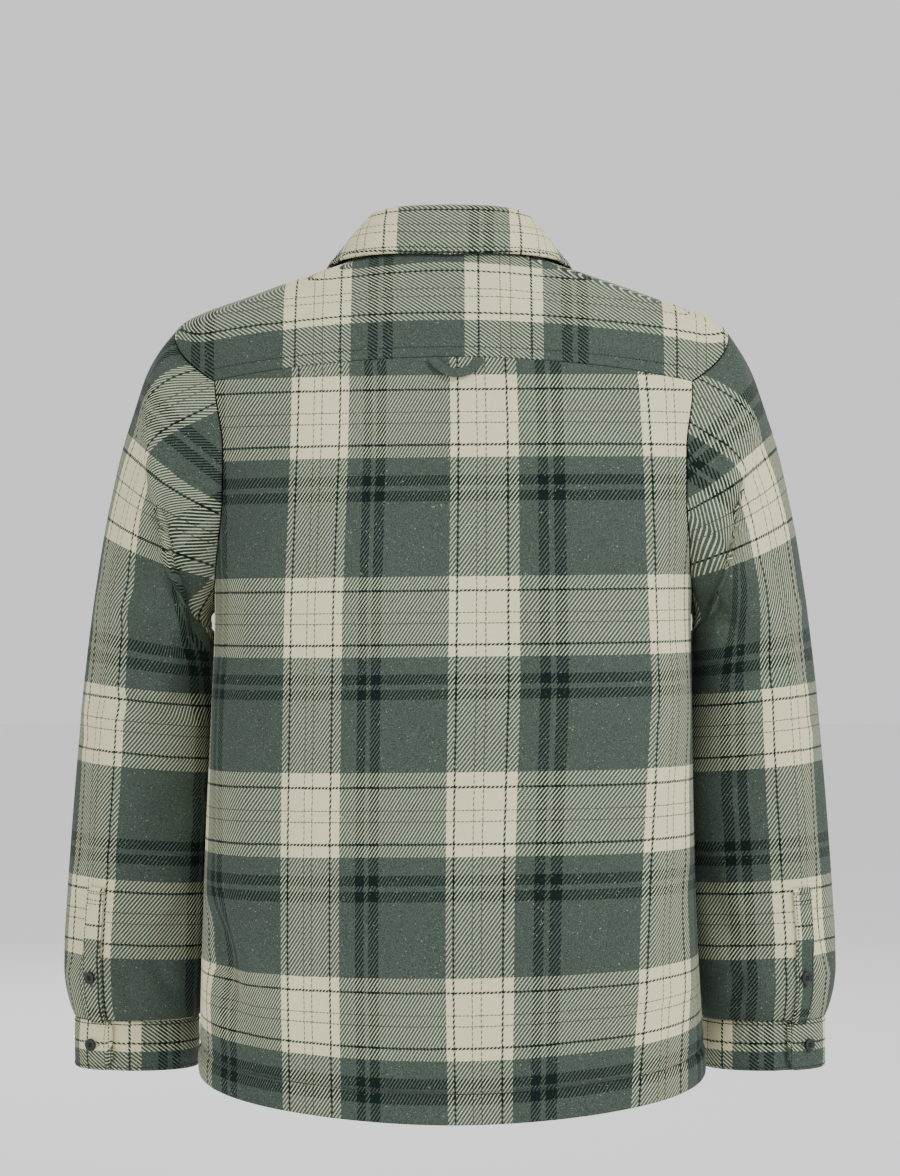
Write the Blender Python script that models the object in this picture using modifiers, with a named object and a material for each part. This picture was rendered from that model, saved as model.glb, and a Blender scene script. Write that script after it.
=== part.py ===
"""Shacket: a buttoned shirt jacket of thick plaid cloth, filled out as worn, with nobody in it.

Metres, +Z up. The wearer's front faces -Y, the wearer's left is +X. The origin is the centre of
the neck at the height of the collar seam at the back.
"""
import math
from collections import namedtuple

import bmesh
import bpy
import numpy as np
from mathutils import Vector

# Cloth
WALL = 0.0026
COLLAR_WALL = 0.0030
LOOP_WALL = 0.0018
GAP = 0.0003
SEAM_HALF_GAP = 0.00016
LEAST_MITRE = 0.6

# Where the panels meet, as climb: 0 is the hem and 1 the neck seam
ARMPIT = 0.565
YOKE_SEAM = 0.86
YOKE_CORNER_ANGLE = 36.0
FRONT_SEAM_ANGLE = -24.0
FRONT_SEAM_CLIMB = 0.900
CENTRE_FRONT = -90.0

# Front closing
PLACKET_WIDTH = 0.032
LAP_RAMP = 0.012
LAP_REACH = 0.92
FRONT_BUTTONS = 7
FIRST_BUTTON_CLIMB = 0.93
LAST_BUTTON_CLIMB = 0.13

# Folds
FOLD_END_SHARE = 0.55
FOLD_TURN_FADE = 2.5

# Body section
FRONT_SQUARENESS = 2.3
FRONT_NARROWING = 0.40
FRONT_NARROWING_POWER = 1.5
HEM_BAND = 0.034
HEM_PUFF = 0.0012

# Collar
ROLL_RADIUS = 0.0048
ROLL_HEIGHT = 0.0034
ROLL_DROP = 0.006
ROLL_START = 0.14
ROLL_END = 0.36
COLLAR_REST = 0.0014
COLLAR_BULGE = 0.0035
STAND_LAP_ANGLE = 9.88

# Cuff and sleeve end
CUFF_TOP = -0.6625
CUFF_HEIGHT = 0.043
CUFF_LAP_ANGLE = 30.0
CUFF_END_ANGLE = 72.0
CUFF_COLUMNS = 26
CUFF_ROWS = 4
CUFF_UNDER_RAMP = 12.0
CUFF_MITRE_TOP = 0.004
CUFF_MITRE_BOTTOM = 0.010
CUFF_FLARE = 0.0015
CUFF_BUTTON_ANGLE = 52.0
CUFF_BUTTON_HEIGHT = -0.684
SLEEVE_PLACKET_ANGLE = 60.0
SLEEVE_PLACKET_WIDTH = 0.017
SLEEVE_PLACKET_TOP = -0.545
SLEEVE_BUTTON_HEIGHT = -0.624
STRIP_CLEAR = 0.0008
STRIP_END_RISE = 0.0010

# Buttons
FRONT_BUTTON_RADIUS = 0.0075
SLEEVE_BUTTON_RADIUS = 0.0054
BUTTON_THICKNESS = 0.0030
BUTTON_STEPS = 14
BUTTON_CLEAR = 0.0004
BUTTON_WELD = 0.00005
BUTTON_PROFILE = (
    (0.0, 0.45), (0.62, 0.45), (0.76, 1.0), (0.92, 1.0),
    (1.0, 0.45), (1.0, -0.6), (0.9, -1.0), (0.0, -1.0),
)

# Grid counts
LOW_ROWS = 17
BACK_ARMHOLE_ROWS = 10
FRONT_ARMHOLE_ROWS = 10
YOKE_EDGE_COLUMNS = 5
YOKE_ROWS = 5
BACK_COLUMNS = 22
FRONT_COLUMNS = 10
LAP_COLUMNS = 5
SLEEVE_ROWS = 24

Ring = namedtuple("Ring", "climb half_width shift side_height back_depth back_height "
                          "front_depth front_height squareness")
BODY_RINGS = (
    Ring(0.000, 0.2155, -0.002, -0.698, 0.150, -0.728, 0.142, -0.724, 3.0),
    Ring(0.150, 0.2110, 0.000, -0.594, 0.150, -0.617, 0.141, -0.616, 3.0),
    Ring(0.300, 0.2075, 0.000, -0.490, 0.149, -0.506, 0.139, -0.508, 3.0),
    Ring(0.450, 0.2045, -0.0015, -0.388, 0.147, -0.397, 0.137, -0.402, 3.0),
    Ring(0.565, 0.2030, -0.0025, -0.310, 0.143, -0.314, 0.133, -0.322, 2.9),
    Ring(0.680, 0.2080, -0.0035, -0.232, 0.137, -0.231, 0.129, -0.248, 2.8),
    Ring(0.780, 0.2200, -0.004, -0.180, 0.127, -0.157, 0.122, -0.190, 2.6),
    Ring(0.860, 0.2320, -0.003, -0.126, 0.113, -0.099, 0.112, -0.150, 2.5),
    Ring(0.915, 0.2310, -0.001, -0.066, 0.094, -0.055, 0.101, -0.124, 2.4),
    Ring(0.950, 0.1720, 0.000, -0.042, 0.079, -0.028, 0.091, -0.106, 2.2),
    Ring(1.000, 0.0840, 0.001, -0.0115, 0.058, 0.000, 0.072, -0.078, 2.0),
)

# The armhole is an oval on the body's form: its edge's angle up the back and the front,
# and its climb over the shoulder
ArmEdge = namedtuple("ArmEdge", "climb angle")
BACK_ARM_EDGE = (
    ArmEdge(0.565, 0.0), ArmEdge(0.600, 16.0), ArmEdge(0.660, 27.0), ArmEdge(0.740, 33.0),
    ArmEdge(0.800, 35.5), ArmEdge(0.860, 36.0),
)
FRONT_ARM_EDGE = (
    ArmEdge(0.565, 0.0), ArmEdge(0.600, -13.0), ArmEdge(0.660, -22.0), ArmEdge(0.740, -27.0),
    ArmEdge(0.800, -28.5), ArmEdge(0.860, -27.0), ArmEdge(0.900, -24.0),
)
TopEdge = namedtuple("TopEdge", "angle climb")
SHOULDER_EDGE = (
    TopEdge(-24.0, 0.900), TopEdge(-13.0, 0.913), TopEdge(0.0, 0.917), TopEdge(14.0, 0.904),
    TopEdge(26.0, 0.881), TopEdge(36.0, 0.860),
)

# Sleeve sections: the outer point, the inner point, the depth and where its middle lies
Section = namedtuple("Section", "run outer_x outer_z inner_x inner_z depth middle_y squareness")
SLEEVE_SECTIONS = (
    Section(0.030, 0.2465, -0.085, 0.2105, -0.318, 0.150, 0.002, 2.0),
    Section(0.120, 0.2740, -0.150, 0.2130, -0.330, 0.156, -0.006, 2.1),
    Section(0.220, 0.2920, -0.219, 0.2115, -0.343, 0.154, -0.013, 2.1),
    Section(0.320, 0.3050, -0.287, 0.2070, -0.364, 0.152, -0.026, 2.1),
    Section(0.430, 0.3155, -0.356, 0.2010, -0.400, 0.148, -0.041, 2.1),
    Section(0.550, 0.3230, -0.424, 0.1980, -0.448, 0.142, -0.050, 2.2),
    Section(0.670, 0.3290, -0.493, 0.1990, -0.505, 0.138, -0.053, 2.2),
    Section(0.790, 0.3340, -0.562, 0.2020, -0.566, 0.132, -0.056, 2.2),
    Section(0.850, 0.3360, -0.596, 0.2045, -0.598, 0.128, -0.057, 2.2),
    Section(0.915, 0.3355, -0.631, 0.2080, -0.632, 0.122, -0.057, 2.2),
    Section(0.965, 0.3310, -0.652, 0.2135, -0.652, 0.110, -0.057, 2.2),
    Section(1.000, 0.3270, CUFF_TOP, 0.2190, CUFF_TOP, 0.094, -0.057, 2.2),
)

# Largest folds: a line in the front or back view, its width and depth (troughs are negative);
# side is +1 for the back and -1 for the front
Fold = namedtuple("Fold", "side x0 z0 x1 z1 width depth")
BODY_FOLDS = (
    Fold(1, 0.190, -0.300, 0.150, -0.470, 0.018, -0.0035),
    Fold(1, -0.192, -0.280, -0.165, -0.430, 0.018, -0.0030),
    Fold(1, 0.196, -0.560, 0.183, -0.640, 0.012, -0.0040),
    Fold(1, 0.060, -0.480, 0.075, -0.660, 0.026, -0.0025),
    Fold(1, -0.070, -0.420, -0.055, -0.600, 0.028, -0.0025),
    Fold(-1, 0.175, -0.250, 0.105, -0.330, 0.018, -0.0040),
    Fold(-1, -0.175, -0.255, -0.110, -0.345, 0.018, -0.0040),
    Fold(-1, 0.110, -0.440, 0.090, -0.620, 0.024, -0.0030),
    Fold(-1, -0.115, -0.460, -0.095, -0.640, 0.024, -0.0030),
)
LEFT_SLEEVE_FOLDS = (
    Fold(1, 0.205, -0.170, 0.262, -0.290, 0.013, -0.0050),
    Fold(1, 0.208, -0.250, 0.250, -0.345, 0.012, -0.0045),
    Fold(1, 0.215, -0.330, 0.290, -0.300, 0.012, 0.0030),
    Fold(1, 0.205, -0.370, 0.260, -0.420, 0.013, -0.0040),
    Fold(1, 0.320, -0.420, 0.322, -0.600, 0.012, -0.0040),
    Fold(1, 0.225, -0.600, 0.290, -0.628, 0.012, -0.0030),
    Fold(-1, 0.212, -0.230, 0.268, -0.330, 0.014, -0.0050),
    Fold(-1, 0.210, -0.390, 0.300, -0.430, 0.014, -0.0045),
    Fold(-1, 0.215, -0.470, 0.310, -0.450, 0.013, -0.0040),
    Fold(-1, 0.225, -0.610, 0.300, -0.590, 0.013, -0.0035),
)
RIGHT_SLEEVE_FOLDS = (
    Fold(1, 0.208, -0.140, 0.255, -0.265, 0.013, -0.0055),
    Fold(1, 0.222, -0.130, 0.285, -0.290, 0.012, -0.0045),
    Fold(1, 0.208, -0.290, 0.270, -0.360, 0.013, -0.0045),
    Fold(1, 0.205, -0.300, 0.215, -0.350, 0.010, 0.0030),
    Fold(1, 0.320, -0.400, 0.324, -0.600, 0.012, -0.0040),
    Fold(1, 0.230, -0.590, 0.300, -0.615, 0.012, -0.0030),
    Fold(-1, 0.212, -0.220, 0.262, -0.340, 0.014, -0.0050),
    Fold(-1, 0.210, -0.400, 0.295, -0.420, 0.014, -0.0045),
    Fold(-1, 0.220, -0.480, 0.310, -0.470, 0.013, -0.0040),
    Fold(-1, 0.230, -0.600, 0.300, -0.585, 0.013, -0.0035),
)

# Collar: the top of its roll round the neck, and how far down the body its leaf lies
RollEdge = namedtuple("RollEdge", "angle half_width depth height leaf_climb")
COLLAR_ROLL = (
    RollEdge(-90.0, 0.0640, 0.0620, -0.046, 0.905),
    RollEdge(-60.0, 0.0640, 0.0610, -0.034, 0.915),
    RollEdge(-30.0, 0.0650, 0.0590, -0.004, 0.965),
    RollEdge(0.0, 0.0665, 0.0560, 0.0225, 0.9905),
    RollEdge(45.0, 0.0690, 0.0500, 0.0320, 0.985),
    RollEdge(90.0, 0.0690, 0.0480, 0.0335, 0.975),
)
COLLAR_END_AT_ROLL = 11.0
COLLAR_END_AT_POINT = 27.0
COLLAR_COLUMNS = 30
COLLAR_STEPS = (0.0, 0.14, 0.20, 0.25, 0.30, 0.36, 0.52, 0.68, 0.84, 1.0)
STAND_COLUMNS = 34

# Hanger loop under the yoke seam at the centre of the back
LOOP_LEFT = 0.0182
LOOP_RIGHT = -0.0226
LOOP_START = 0.0015
LOOP_DROP = 0.0135
LOOP_BAND = 0.0075
LOOP_CLEAR = 0.0008
LOOP_STAND_OFF = 0.0028
LOOP_STEPS = 12
LOOP_FULLNESS = 0.75
BACK_RISE = 0.74

UP = np.array((0.0, 0.0, 1.0))

GREEN = (0.105, 0.150, 0.120, 1.0)
CREAM = (0.640, 0.590, 0.470, 1.0)
BUTTON_GREEN = (0.012, 0.020, 0.018, 1.0)


def clear_scene():
    for thing in list(bpy.data.objects):
        bpy.data.objects.remove(thing, do_unlink=True)


def material(name, colour, roughness):
    finish = bpy.data.materials.new(name)
    finish.use_nodes = True
    shader = finish.node_tree.nodes["Principled BSDF"]
    shader.inputs["Base Color"].default_value = colour
    shader.inputs["Roughness"].default_value = roughness
    shader.inputs["Metallic"].default_value = 0.0
    return finish


def through(places, values, at):
    """A smooth curve through values (numbers or points) at places, read at each of at."""
    places = np.asarray(places, float)
    values = np.asarray(values, float)
    at = np.asarray(at, float)
    slopes = np.gradient(values, places, axis=0)
    index = np.clip(np.searchsorted(places, at, side="right") - 1, 0, len(places) - 2)
    span = places[index + 1] - places[index]
    t = (at - places[index]) / span
    extra = (1,) * (values.ndim - 1)
    t = t.reshape(t.shape + extra)
    span = span.reshape(span.shape + extra)
    near = (2 * t ** 3 - 3 * t ** 2 + 1) * values[index]
    near = near + (t ** 3 - 2 * t ** 2 + t) * span * slopes[index]
    far = (3 * t ** 2 - 2 * t ** 3) * values[index + 1]
    far = far + (t ** 3 - t ** 2) * span * slopes[index + 1]
    return near + far


def column(table, name, at):
    """One named column of a table, read smoothly against the table's first column."""
    places = [row[0] for row in table]
    values = [getattr(row, name) for row in table]
    return through(places, values, at)


def ease(t):
    t = np.clip(t, 0.0, 1.0)
    return t * t * (3.0 - 2.0 * t)


def unit(vectors):
    return vectors / np.maximum(np.linalg.norm(vectors, axis=-1, keepdims=True), 1e-12)


def fold_depth(folds, points, facing):
    """How far folds push each point along its normal; facing is the normal's Y."""
    push = np.zeros(points.shape[:-1])
    for fold in folds:
        start = np.array((fold.x0, fold.z0))
        line = np.array((fold.x1, fold.z1)) - start
        place = points[..., (0, 2)] - start
        along = np.clip((place @ line) / (line @ line), 0.0, 1.0)
        away = np.linalg.norm(place - along[..., None] * line, axis=-1)
        swell = FOLD_END_SHARE + (1.0 - FOLD_END_SHARE) * np.sin(math.pi * along)
        shape = np.exp(-(away / fold.width) ** 2)
        push = push + fold.depth * swell * shape * ease(facing * fold.side * FOLD_TURN_FADE)
    return push


def body_form(angle, climb):
    """The body's outer face with no folds: angle 0 is the left side, 90 the centre back."""
    angle, climb = np.broadcast_arrays(np.asarray(angle, float), np.asarray(climb, float))
    turn = np.radians(angle)
    across = np.cos(turn)
    deep = np.sin(turn)
    behind = deep >= 0.0
    size = {name: column(BODY_RINGS, name, climb) for name in Ring._fields[1:]}
    power = np.where(behind, size["squareness"], FRONT_SQUARENESS)
    reach = (np.abs(across) ** power + np.abs(deep) ** power) ** (-1.0 / power)
    y = np.where(behind, size["back_depth"], size["front_depth"]) * reach * deep
    forward = np.clip(-y / size["front_depth"], 0.0, 1.0)
    narrow = 1.0 - FRONT_NARROWING * forward ** FRONT_NARROWING_POWER
    x = size["half_width"] * reach * across * narrow + size["shift"]
    end = np.where(behind, size["back_height"], size["front_height"])
    z = end + (size["side_height"] - end) * across * across
    return np.stack((x, y, z), axis=-1)


def normals_of(form, u, v, outward):
    """Unit normals of a form(u, v) by small steps either way."""
    step_u, step_v = 0.02, 0.0002
    run_u = form(u + step_u, v) - form(u - step_u, v)
    run_v = form(u, v + step_v) - form(u, v - step_v)
    return unit(np.cross(run_u, run_v)) * outward


def body(angle, climb):
    """The body's outer face with its folds and the puffed hem band."""
    smooth_face = body_form(angle, climb)
    normal = normals_of(body_form, np.asarray(angle, float), np.asarray(climb, float), 1.0)
    push = fold_depth(BODY_FOLDS, smooth_face, normal[..., 1])
    band = np.clip(np.asarray(climb, float) / HEM_BAND, 0.0, 1.0)
    push = push + HEM_PUFF * np.sin(math.pi * band)
    return smooth_face + normal * push[..., None]


def body_normals(angle, climb):
    angle, climb = np.broadcast_arrays(np.asarray(angle, float), np.asarray(climb, float))
    return normals_of(body, angle, climb, 1.0)


def build_object(name, vertices, faces, finish, home):
    mesh = bpy.data.meshes.new(name)
    mesh.from_pydata([tuple(map(float, v)) for v in vertices], [], faces)
    shape = bmesh.new()
    shape.from_mesh(mesh)
    if shape.calc_volume(signed=True) < 0.0:
        bmesh.ops.reverse_faces(shape, faces=shape.faces)
    shape.to_mesh(mesh)
    shape.free()
    mesh.materials.append(finish)
    mesh.shade_smooth()
    mesh.set_sharp_from_angle(angle=math.radians(50.0))
    thing = bpy.data.objects.new(name, mesh)
    home.objects.link(thing)
    return thing


def split_quads(vertices, faces):
    """Cuts each four-sided face along its shorter diagonal."""
    cut = []
    for a, b, c, d in faces:
        if np.linalg.norm(vertices[a] - vertices[c]) <= np.linalg.norm(vertices[b] - vertices[d]):
            cut.extend(((a, b, c), (a, c, d)))
        else:
            cut.extend(((a, b, d), (b, c, d)))
    return cut


def wall(name, outer, inner, finish, home, round_tube=False, split=False):
    """A closed wall between two grids of points, rows by columns."""
    rows, columns = outer.shape[:2]
    vertices = np.concatenate((outer.reshape(-1, 3), inner.reshape(-1, 3)))
    below = rows * columns

    def at(row, col, under):
        return under * below + row * columns + col % columns

    faces = []
    spans = columns if round_tube else columns - 1
    for row in range(rows - 1):
        for col in range(spans):
            quad = (at(row, col, 0), at(row, col + 1, 0), at(row + 1, col + 1, 0), at(row + 1, col, 0))
            faces.append(quad)
            faces.append(tuple(index + below for index in reversed(quad)))
    for col in range(spans):
        faces.append((at(0, col, 0), at(0, col, 1), at(0, col + 1, 1), at(0, col + 1, 0)))
        last = rows - 1
        faces.append((at(last, col, 0), at(last, col + 1, 0), at(last, col + 1, 1), at(last, col, 1)))
    if not round_tube:
        for row in range(rows - 1):
            faces.append((at(row, 0, 0), at(row + 1, 0, 0), at(row + 1, 0, 1), at(row, 0, 1)))
            end = columns - 1
            faces.append((at(row, end, 0), at(row, end, 1), at(row + 1, end, 1), at(row + 1, end, 0)))
    if split:
        faces = split_quads(vertices, faces)
    return build_object(name, vertices, faces, finish, home)


def seam_inset(points, edges):
    """Moves the named edges of a grid of points in by half a seam's gap."""
    moved = points.copy()
    if "first_row" in edges:
        moved[0] += unit(points[1] - points[0]) * SEAM_HALF_GAP
    if "last_row" in edges:
        moved[-1] += unit(points[-2] - points[-1]) * SEAM_HALF_GAP
    if "first_column" in edges:
        moved[:, 0] += unit(points[:, 1] - points[:, 0]) * SEAM_HALF_GAP
    if "last_column" in edges:
        moved[:, -1] += unit(points[:, -2] - points[:, -1]) * SEAM_HALF_GAP
    return moved


def low_climbs():
    band = (0.0, 0.5 * HEM_BAND, HEM_BAND)
    above = np.linspace(HEM_BAND, ARMPIT, LOW_ROWS)[1:]
    return np.concatenate((band, above))


def back_climbs():
    return np.concatenate((low_climbs(), np.linspace(ARMPIT, YOKE_SEAM, BACK_ARMHOLE_ROWS + 1)[1:]))


def neck_climbs():
    return np.linspace(FRONT_SEAM_CLIMB, 1.0, YOKE_ROWS + 1)


def front_climbs():
    arm = np.linspace(ARMPIT, FRONT_SEAM_CLIMB, FRONT_ARMHOLE_ROWS + 1)[1:]
    return np.concatenate((low_climbs(), arm, neck_climbs()[1:]))


def back_edge_angles(climbs):
    return np.where(climbs <= ARMPIT, 0.0, column(BACK_ARM_EDGE, "angle", climbs))


def front_edge_angles(climbs):
    edge = column(FRONT_ARM_EDGE, "angle", np.minimum(climbs, FRONT_SEAM_CLIMB))
    return np.where(climbs <= ARMPIT, 0.0, edge)


def shoulder_edge_angles():
    return np.linspace(YOKE_CORNER_ANGLE, FRONT_SEAM_ANGLE, YOKE_EDGE_COLUMNS + 1)


def armhole_loop():
    """Angle and climb round the left armhole: up the back, over the shoulder, down the front."""
    up = np.linspace(ARMPIT, YOKE_SEAM, BACK_ARMHOLE_ROWS + 1)
    over = shoulder_edge_angles()[1:]
    down = np.linspace(FRONT_SEAM_CLIMB, ARMPIT, FRONT_ARMHOLE_ROWS + 1)[1:-1]
    angles = np.concatenate((back_edge_angles(up), over, front_edge_angles(down)))
    climbs = np.concatenate((up, column(SHOULDER_EDGE, "climb", over), down))
    climbs[BACK_ARMHOLE_ROWS] = YOKE_SEAM
    climbs[BACK_ARMHOLE_ROWS + YOKE_EDGE_COLUMNS] = FRONT_SEAM_CLIMB
    return angles, climbs


def to_side(angle, side):
    """The same angle on the wearer's left (side 1) or right (side -1)."""
    return angle if side > 0 else 180.0 - angle


def sleeve_turns(loop):
    """The turn round the sleeve of each armhole point: 180 at the armpit, 0 at the shoulder."""
    closed = np.concatenate((loop, loop[:1]))
    length = np.concatenate(((0.0,), np.cumsum(np.linalg.norm(np.diff(closed, axis=0), axis=1))))
    top = int(np.argmax(loop[:, 2]))
    back = 180.0 * (1.0 - length / length[top])
    front = -180.0 * (length - length[top]) / (length[-1] - length[top])
    return np.where(np.arange(len(length)) <= top, back, front)[:-1]


def section_ring(section, turns, side):
    """One sleeve section as a ring of points."""
    outer = np.array((section.outer_x, section.middle_y, section.outer_z))
    inner = np.array((section.inner_x, section.middle_y, section.inner_z))
    middle = (outer + inner) / 2
    half = (outer - inner) / 2
    across = np.cos(np.radians(turns))
    deep = np.sin(np.radians(turns))
    power = section.squareness
    reach = ((np.abs(across) ** power + np.abs(deep) ** power) ** (-1.0 / power))[:, None]
    ring = middle + half * across[:, None] * reach
    ring = ring + np.array((0.0, section.depth / 2, 0.0)) * deep[:, None] * reach
    ring[:, 0] *= side
    return ring


def sleeve_grid(side, folds, runs):
    """Sleeve points, normals and turns; the first row lies on the armhole."""
    angles, climbs = armhole_loop()
    loop = body(to_side(angles, side), climbs)
    turns = sleeve_turns(loop)
    rings = [loop] + [section_ring(section, turns, side) for section in SLEEVE_SECTIONS]
    places = [0.0] + [section.run for section in SLEEVE_SECTIONS]
    points = through(places, rings, runs)

    def tube_normals(grid):
        around = np.roll(grid, -1, axis=1) - np.roll(grid, 1, axis=1)
        along = np.gradient(grid, axis=0)
        return unit(np.cross(around, along)) * side

    normals = tube_normals(points)
    flat = points * np.array((side, 1.0, 1.0))
    push = fold_depth(folds, flat, normals[..., 1]) * ease(runs / 0.06)[:, None]
    points = points + normals * (push * ease((1.0 - runs) / 0.08)[:, None])[..., None]
    return points, tube_normals(points), turns


def armhole_seam(side):
    """Points of one armhole, the direction of the walls there, and the sleeve's step off it."""
    angles, climbs = armhole_loop()
    angles = to_side(angles, side)
    loop = body(angles, climbs)
    body_out = body_normals(angles, climbs)
    points, normals, _ = sleeve_grid(side, (), np.array((0.0, 0.02, 0.04)))
    shared = body_out + normals[0]
    cosine = np.linalg.norm(shared, axis=1, keepdims=True) / 2
    direction = unit(shared) / np.maximum(cosine, LEAST_MITRE)
    into_sleeve = unit(points[1] - points[0])
    around = unit(np.roll(loop, -1, axis=0) - np.roll(loop, 1, axis=0))
    across = np.cross(around, unit(shared))
    sign = np.sign(np.sum(across * into_sleeve, axis=1, keepdims=True))
    return loop, direction, unit(across) * sign * GAP


def share_armholes(points, normals, seams):
    """Gives grid points on an armhole the wall direction that the sleeve has there."""
    shared = normals.copy()
    for loop, direction, _ in seams:
        for place, way in zip(loop, direction):
            near = np.linalg.norm(points - place, axis=-1) < 1e-6
            shared[near] = way
    return shared


def make_back(seams, finish, home):
    climbs = back_climbs()
    edge = back_edge_angles(climbs)
    share = np.linspace(0.0, 1.0, BACK_COLUMNS + 1)
    angles = edge[:, None] + (180.0 - 2.0 * edge[:, None]) * share[None, :]
    grid = np.broadcast_to(climbs[:, None], angles.shape)
    # below the armpit the sides are seams; above it they are the armholes
    low = len(low_climbs())
    points = body(angles, grid)
    ways = share_armholes(points, body_normals(angles, grid), seams)
    outer = points.copy()
    outer[-1] += unit(points[-2] - points[-1]) * SEAM_HALF_GAP
    outer[:low, 0] += unit(points[:low, 1] - points[:low, 0]) * SEAM_HALF_GAP
    outer[:low, -1] += unit(points[:low, -2] - points[:low, -1]) * SEAM_HALF_GAP
    wall("back", outer, outer - ways * WALL, finish, home)


def placket_half_angle(climbs):
    across = column(BODY_RINGS, "half_width", climbs) * (1.0 - FRONT_NARROWING)
    return np.degrees(np.arcsin(PLACKET_WIDTH / 2 / across))


def make_front_left(seams, finish, home):
    climbs = front_climbs()
    start = CENTRE_FRONT + placket_half_angle(climbs)
    edge = front_edge_angles(climbs)
    share = np.linspace(0.0, 1.0, FRONT_COLUMNS + 1)
    angles = start[:, None] + (edge - start)[:, None] * share[None, :]
    grid = np.broadcast_to(climbs[:, None], angles.shape)
    finish_front("front_left", angles, grid, seams, finish, home, None, ("first_column",))


def make_front_right(seams, finish, home):
    """The right front runs on under the placket, sunk by a wall."""
    climbs = front_climbs()
    half = placket_half_angle(climbs)
    ramp = half * LAP_RAMP / (PLACKET_WIDTH / 2)
    lap_end = 180.0 - CENTRE_FRONT + half * LAP_REACH
    lap_start = 180.0 - CENTRE_FRONT - half
    ramp_start = lap_start - ramp
    edge = 180.0 - front_edge_angles(climbs)
    share = np.linspace(0.0, 1.0, FRONT_COLUMNS)
    main = edge[:, None] + (ramp_start - edge)[:, None] * share[None, :]
    steps = np.linspace(0.0, 1.0, LAP_COLUMNS)
    lap = lap_start[:, None] + (lap_end - lap_start)[:, None] * steps[None, :]
    angles = np.concatenate((main, lap), axis=1)
    grid = np.broadcast_to(climbs[:, None], angles.shape)
    sink = np.zeros(angles.shape)
    sink[:, -LAP_COLUMNS:] = WALL + GAP
    finish_front("front_right", angles, grid, seams, finish, home, sink, ())


def finish_front(name, angles, grid, seams, finish, home, sink, edges):
    low = len(low_climbs())
    top = low + FRONT_ARMHOLE_ROWS
    points = body(angles, grid)
    normals = body_normals(angles, grid)
    ways = share_armholes(points, normals, seams)
    if sink is not None:
        points = points - normals * sink[..., None]
    outer = seam_inset(points, edges)
    # the column on the side seam, armhole and yoke seam is the first or the last
    side_is_last = sink is None
    own = -1 if side_is_last else 0
    next_in = -2 if side_is_last else 1
    inward = unit(points[:, next_in] - points[:, own]) * SEAM_HALF_GAP
    outer[:low, own] += inward[:low]
    outer[top - 1:, own] += inward[top - 1:]
    wall(name, outer, outer - ways * WALL, finish, home)


def make_placket(finish, home):
    climbs = front_climbs()
    half = placket_half_angle(climbs)
    share = np.linspace(-1.0, 1.0, LAP_COLUMNS)
    angles = CENTRE_FRONT + half[:, None] * share[None, :]
    grid = np.broadcast_to(climbs[:, None], angles.shape)
    points = body(angles, grid)
    outer = seam_inset(points, ("last_column",))
    wall("front_placket", outer, outer - body_normals(angles, grid) * WALL, finish, home)


def make_yoke(seams, finish, home):
    """A horseshoe round the neck: back seam, armholes, and a seam down each front."""
    back_edge = back_edge_angles(np.array((YOKE_SEAM,)))[0]
    share = np.linspace(0.0, 1.0, BACK_COLUMNS + 1)
    over_back = back_edge + (180.0 - 2.0 * back_edge) * share
    left = shoulder_edge_angles()[::-1]
    right = 180.0 - left[::-1]
    angles = np.concatenate((left[:-1], over_back, right[1:]))
    mirrored = np.where(angles > 90.0, 180.0 - angles, angles)
    start = np.where(mirrored >= YOKE_CORNER_ANGLE - 1e-9, YOKE_SEAM,
                     column(SHOULDER_EDGE, "climb", mirrored))
    start[0] = FRONT_SEAM_CLIMB
    start[-1] = FRONT_SEAM_CLIMB
    steps = np.linspace(0.0, 1.0, YOKE_ROWS + 1)
    grid = start[None, :] + (1.0 - start)[None, :] * steps[:, None]
    wide = np.broadcast_to(angles[None, :], grid.shape)
    points = body(wide, grid)
    ways = share_armholes(points, body_normals(wide, grid), seams)
    outer = seam_inset(points, ("first_column", "last_column"))
    first = YOKE_EDGE_COLUMNS
    last = YOKE_EDGE_COLUMNS + BACK_COLUMNS + 1
    outer[0, first:last] += unit(points[1, first:last] - points[0, first:last]) * SEAM_HALF_GAP
    wall("yoke", outer, outer - ways * WALL, finish, home, split=True)


def sleeve_runs():
    return np.concatenate(((0.0,), np.linspace(0.03, 1.0, SLEEVE_ROWS)))


def make_sleeve(side, folds, seam, finish, home):
    name = "sleeve_left" if side > 0 else "sleeve_right"
    points, normals, turns = sleeve_grid(side, folds, sleeve_runs())
    loop, direction, step = seam
    points[0] = loop + step
    normals[0] = direction
    flat = normals[-1] * np.array((1.0, 1.0, 0.0))
    normals[-1] = unit(flat)
    inner = points - normals * WALL
    wall(name, points, inner, finish, home, round_tube=True)
    return points, normals, turns


def cuff_ring(turns, side):
    """Points round the cuff's outer face and the level way out from it."""
    end = SLEEVE_SECTIONS[-1]
    ring = section_ring(end, turns, side)
    middle = np.array((side * (end.outer_x + end.inner_x) / 2, end.middle_y, end.outer_z))
    return ring, unit(ring - middle)


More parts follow.
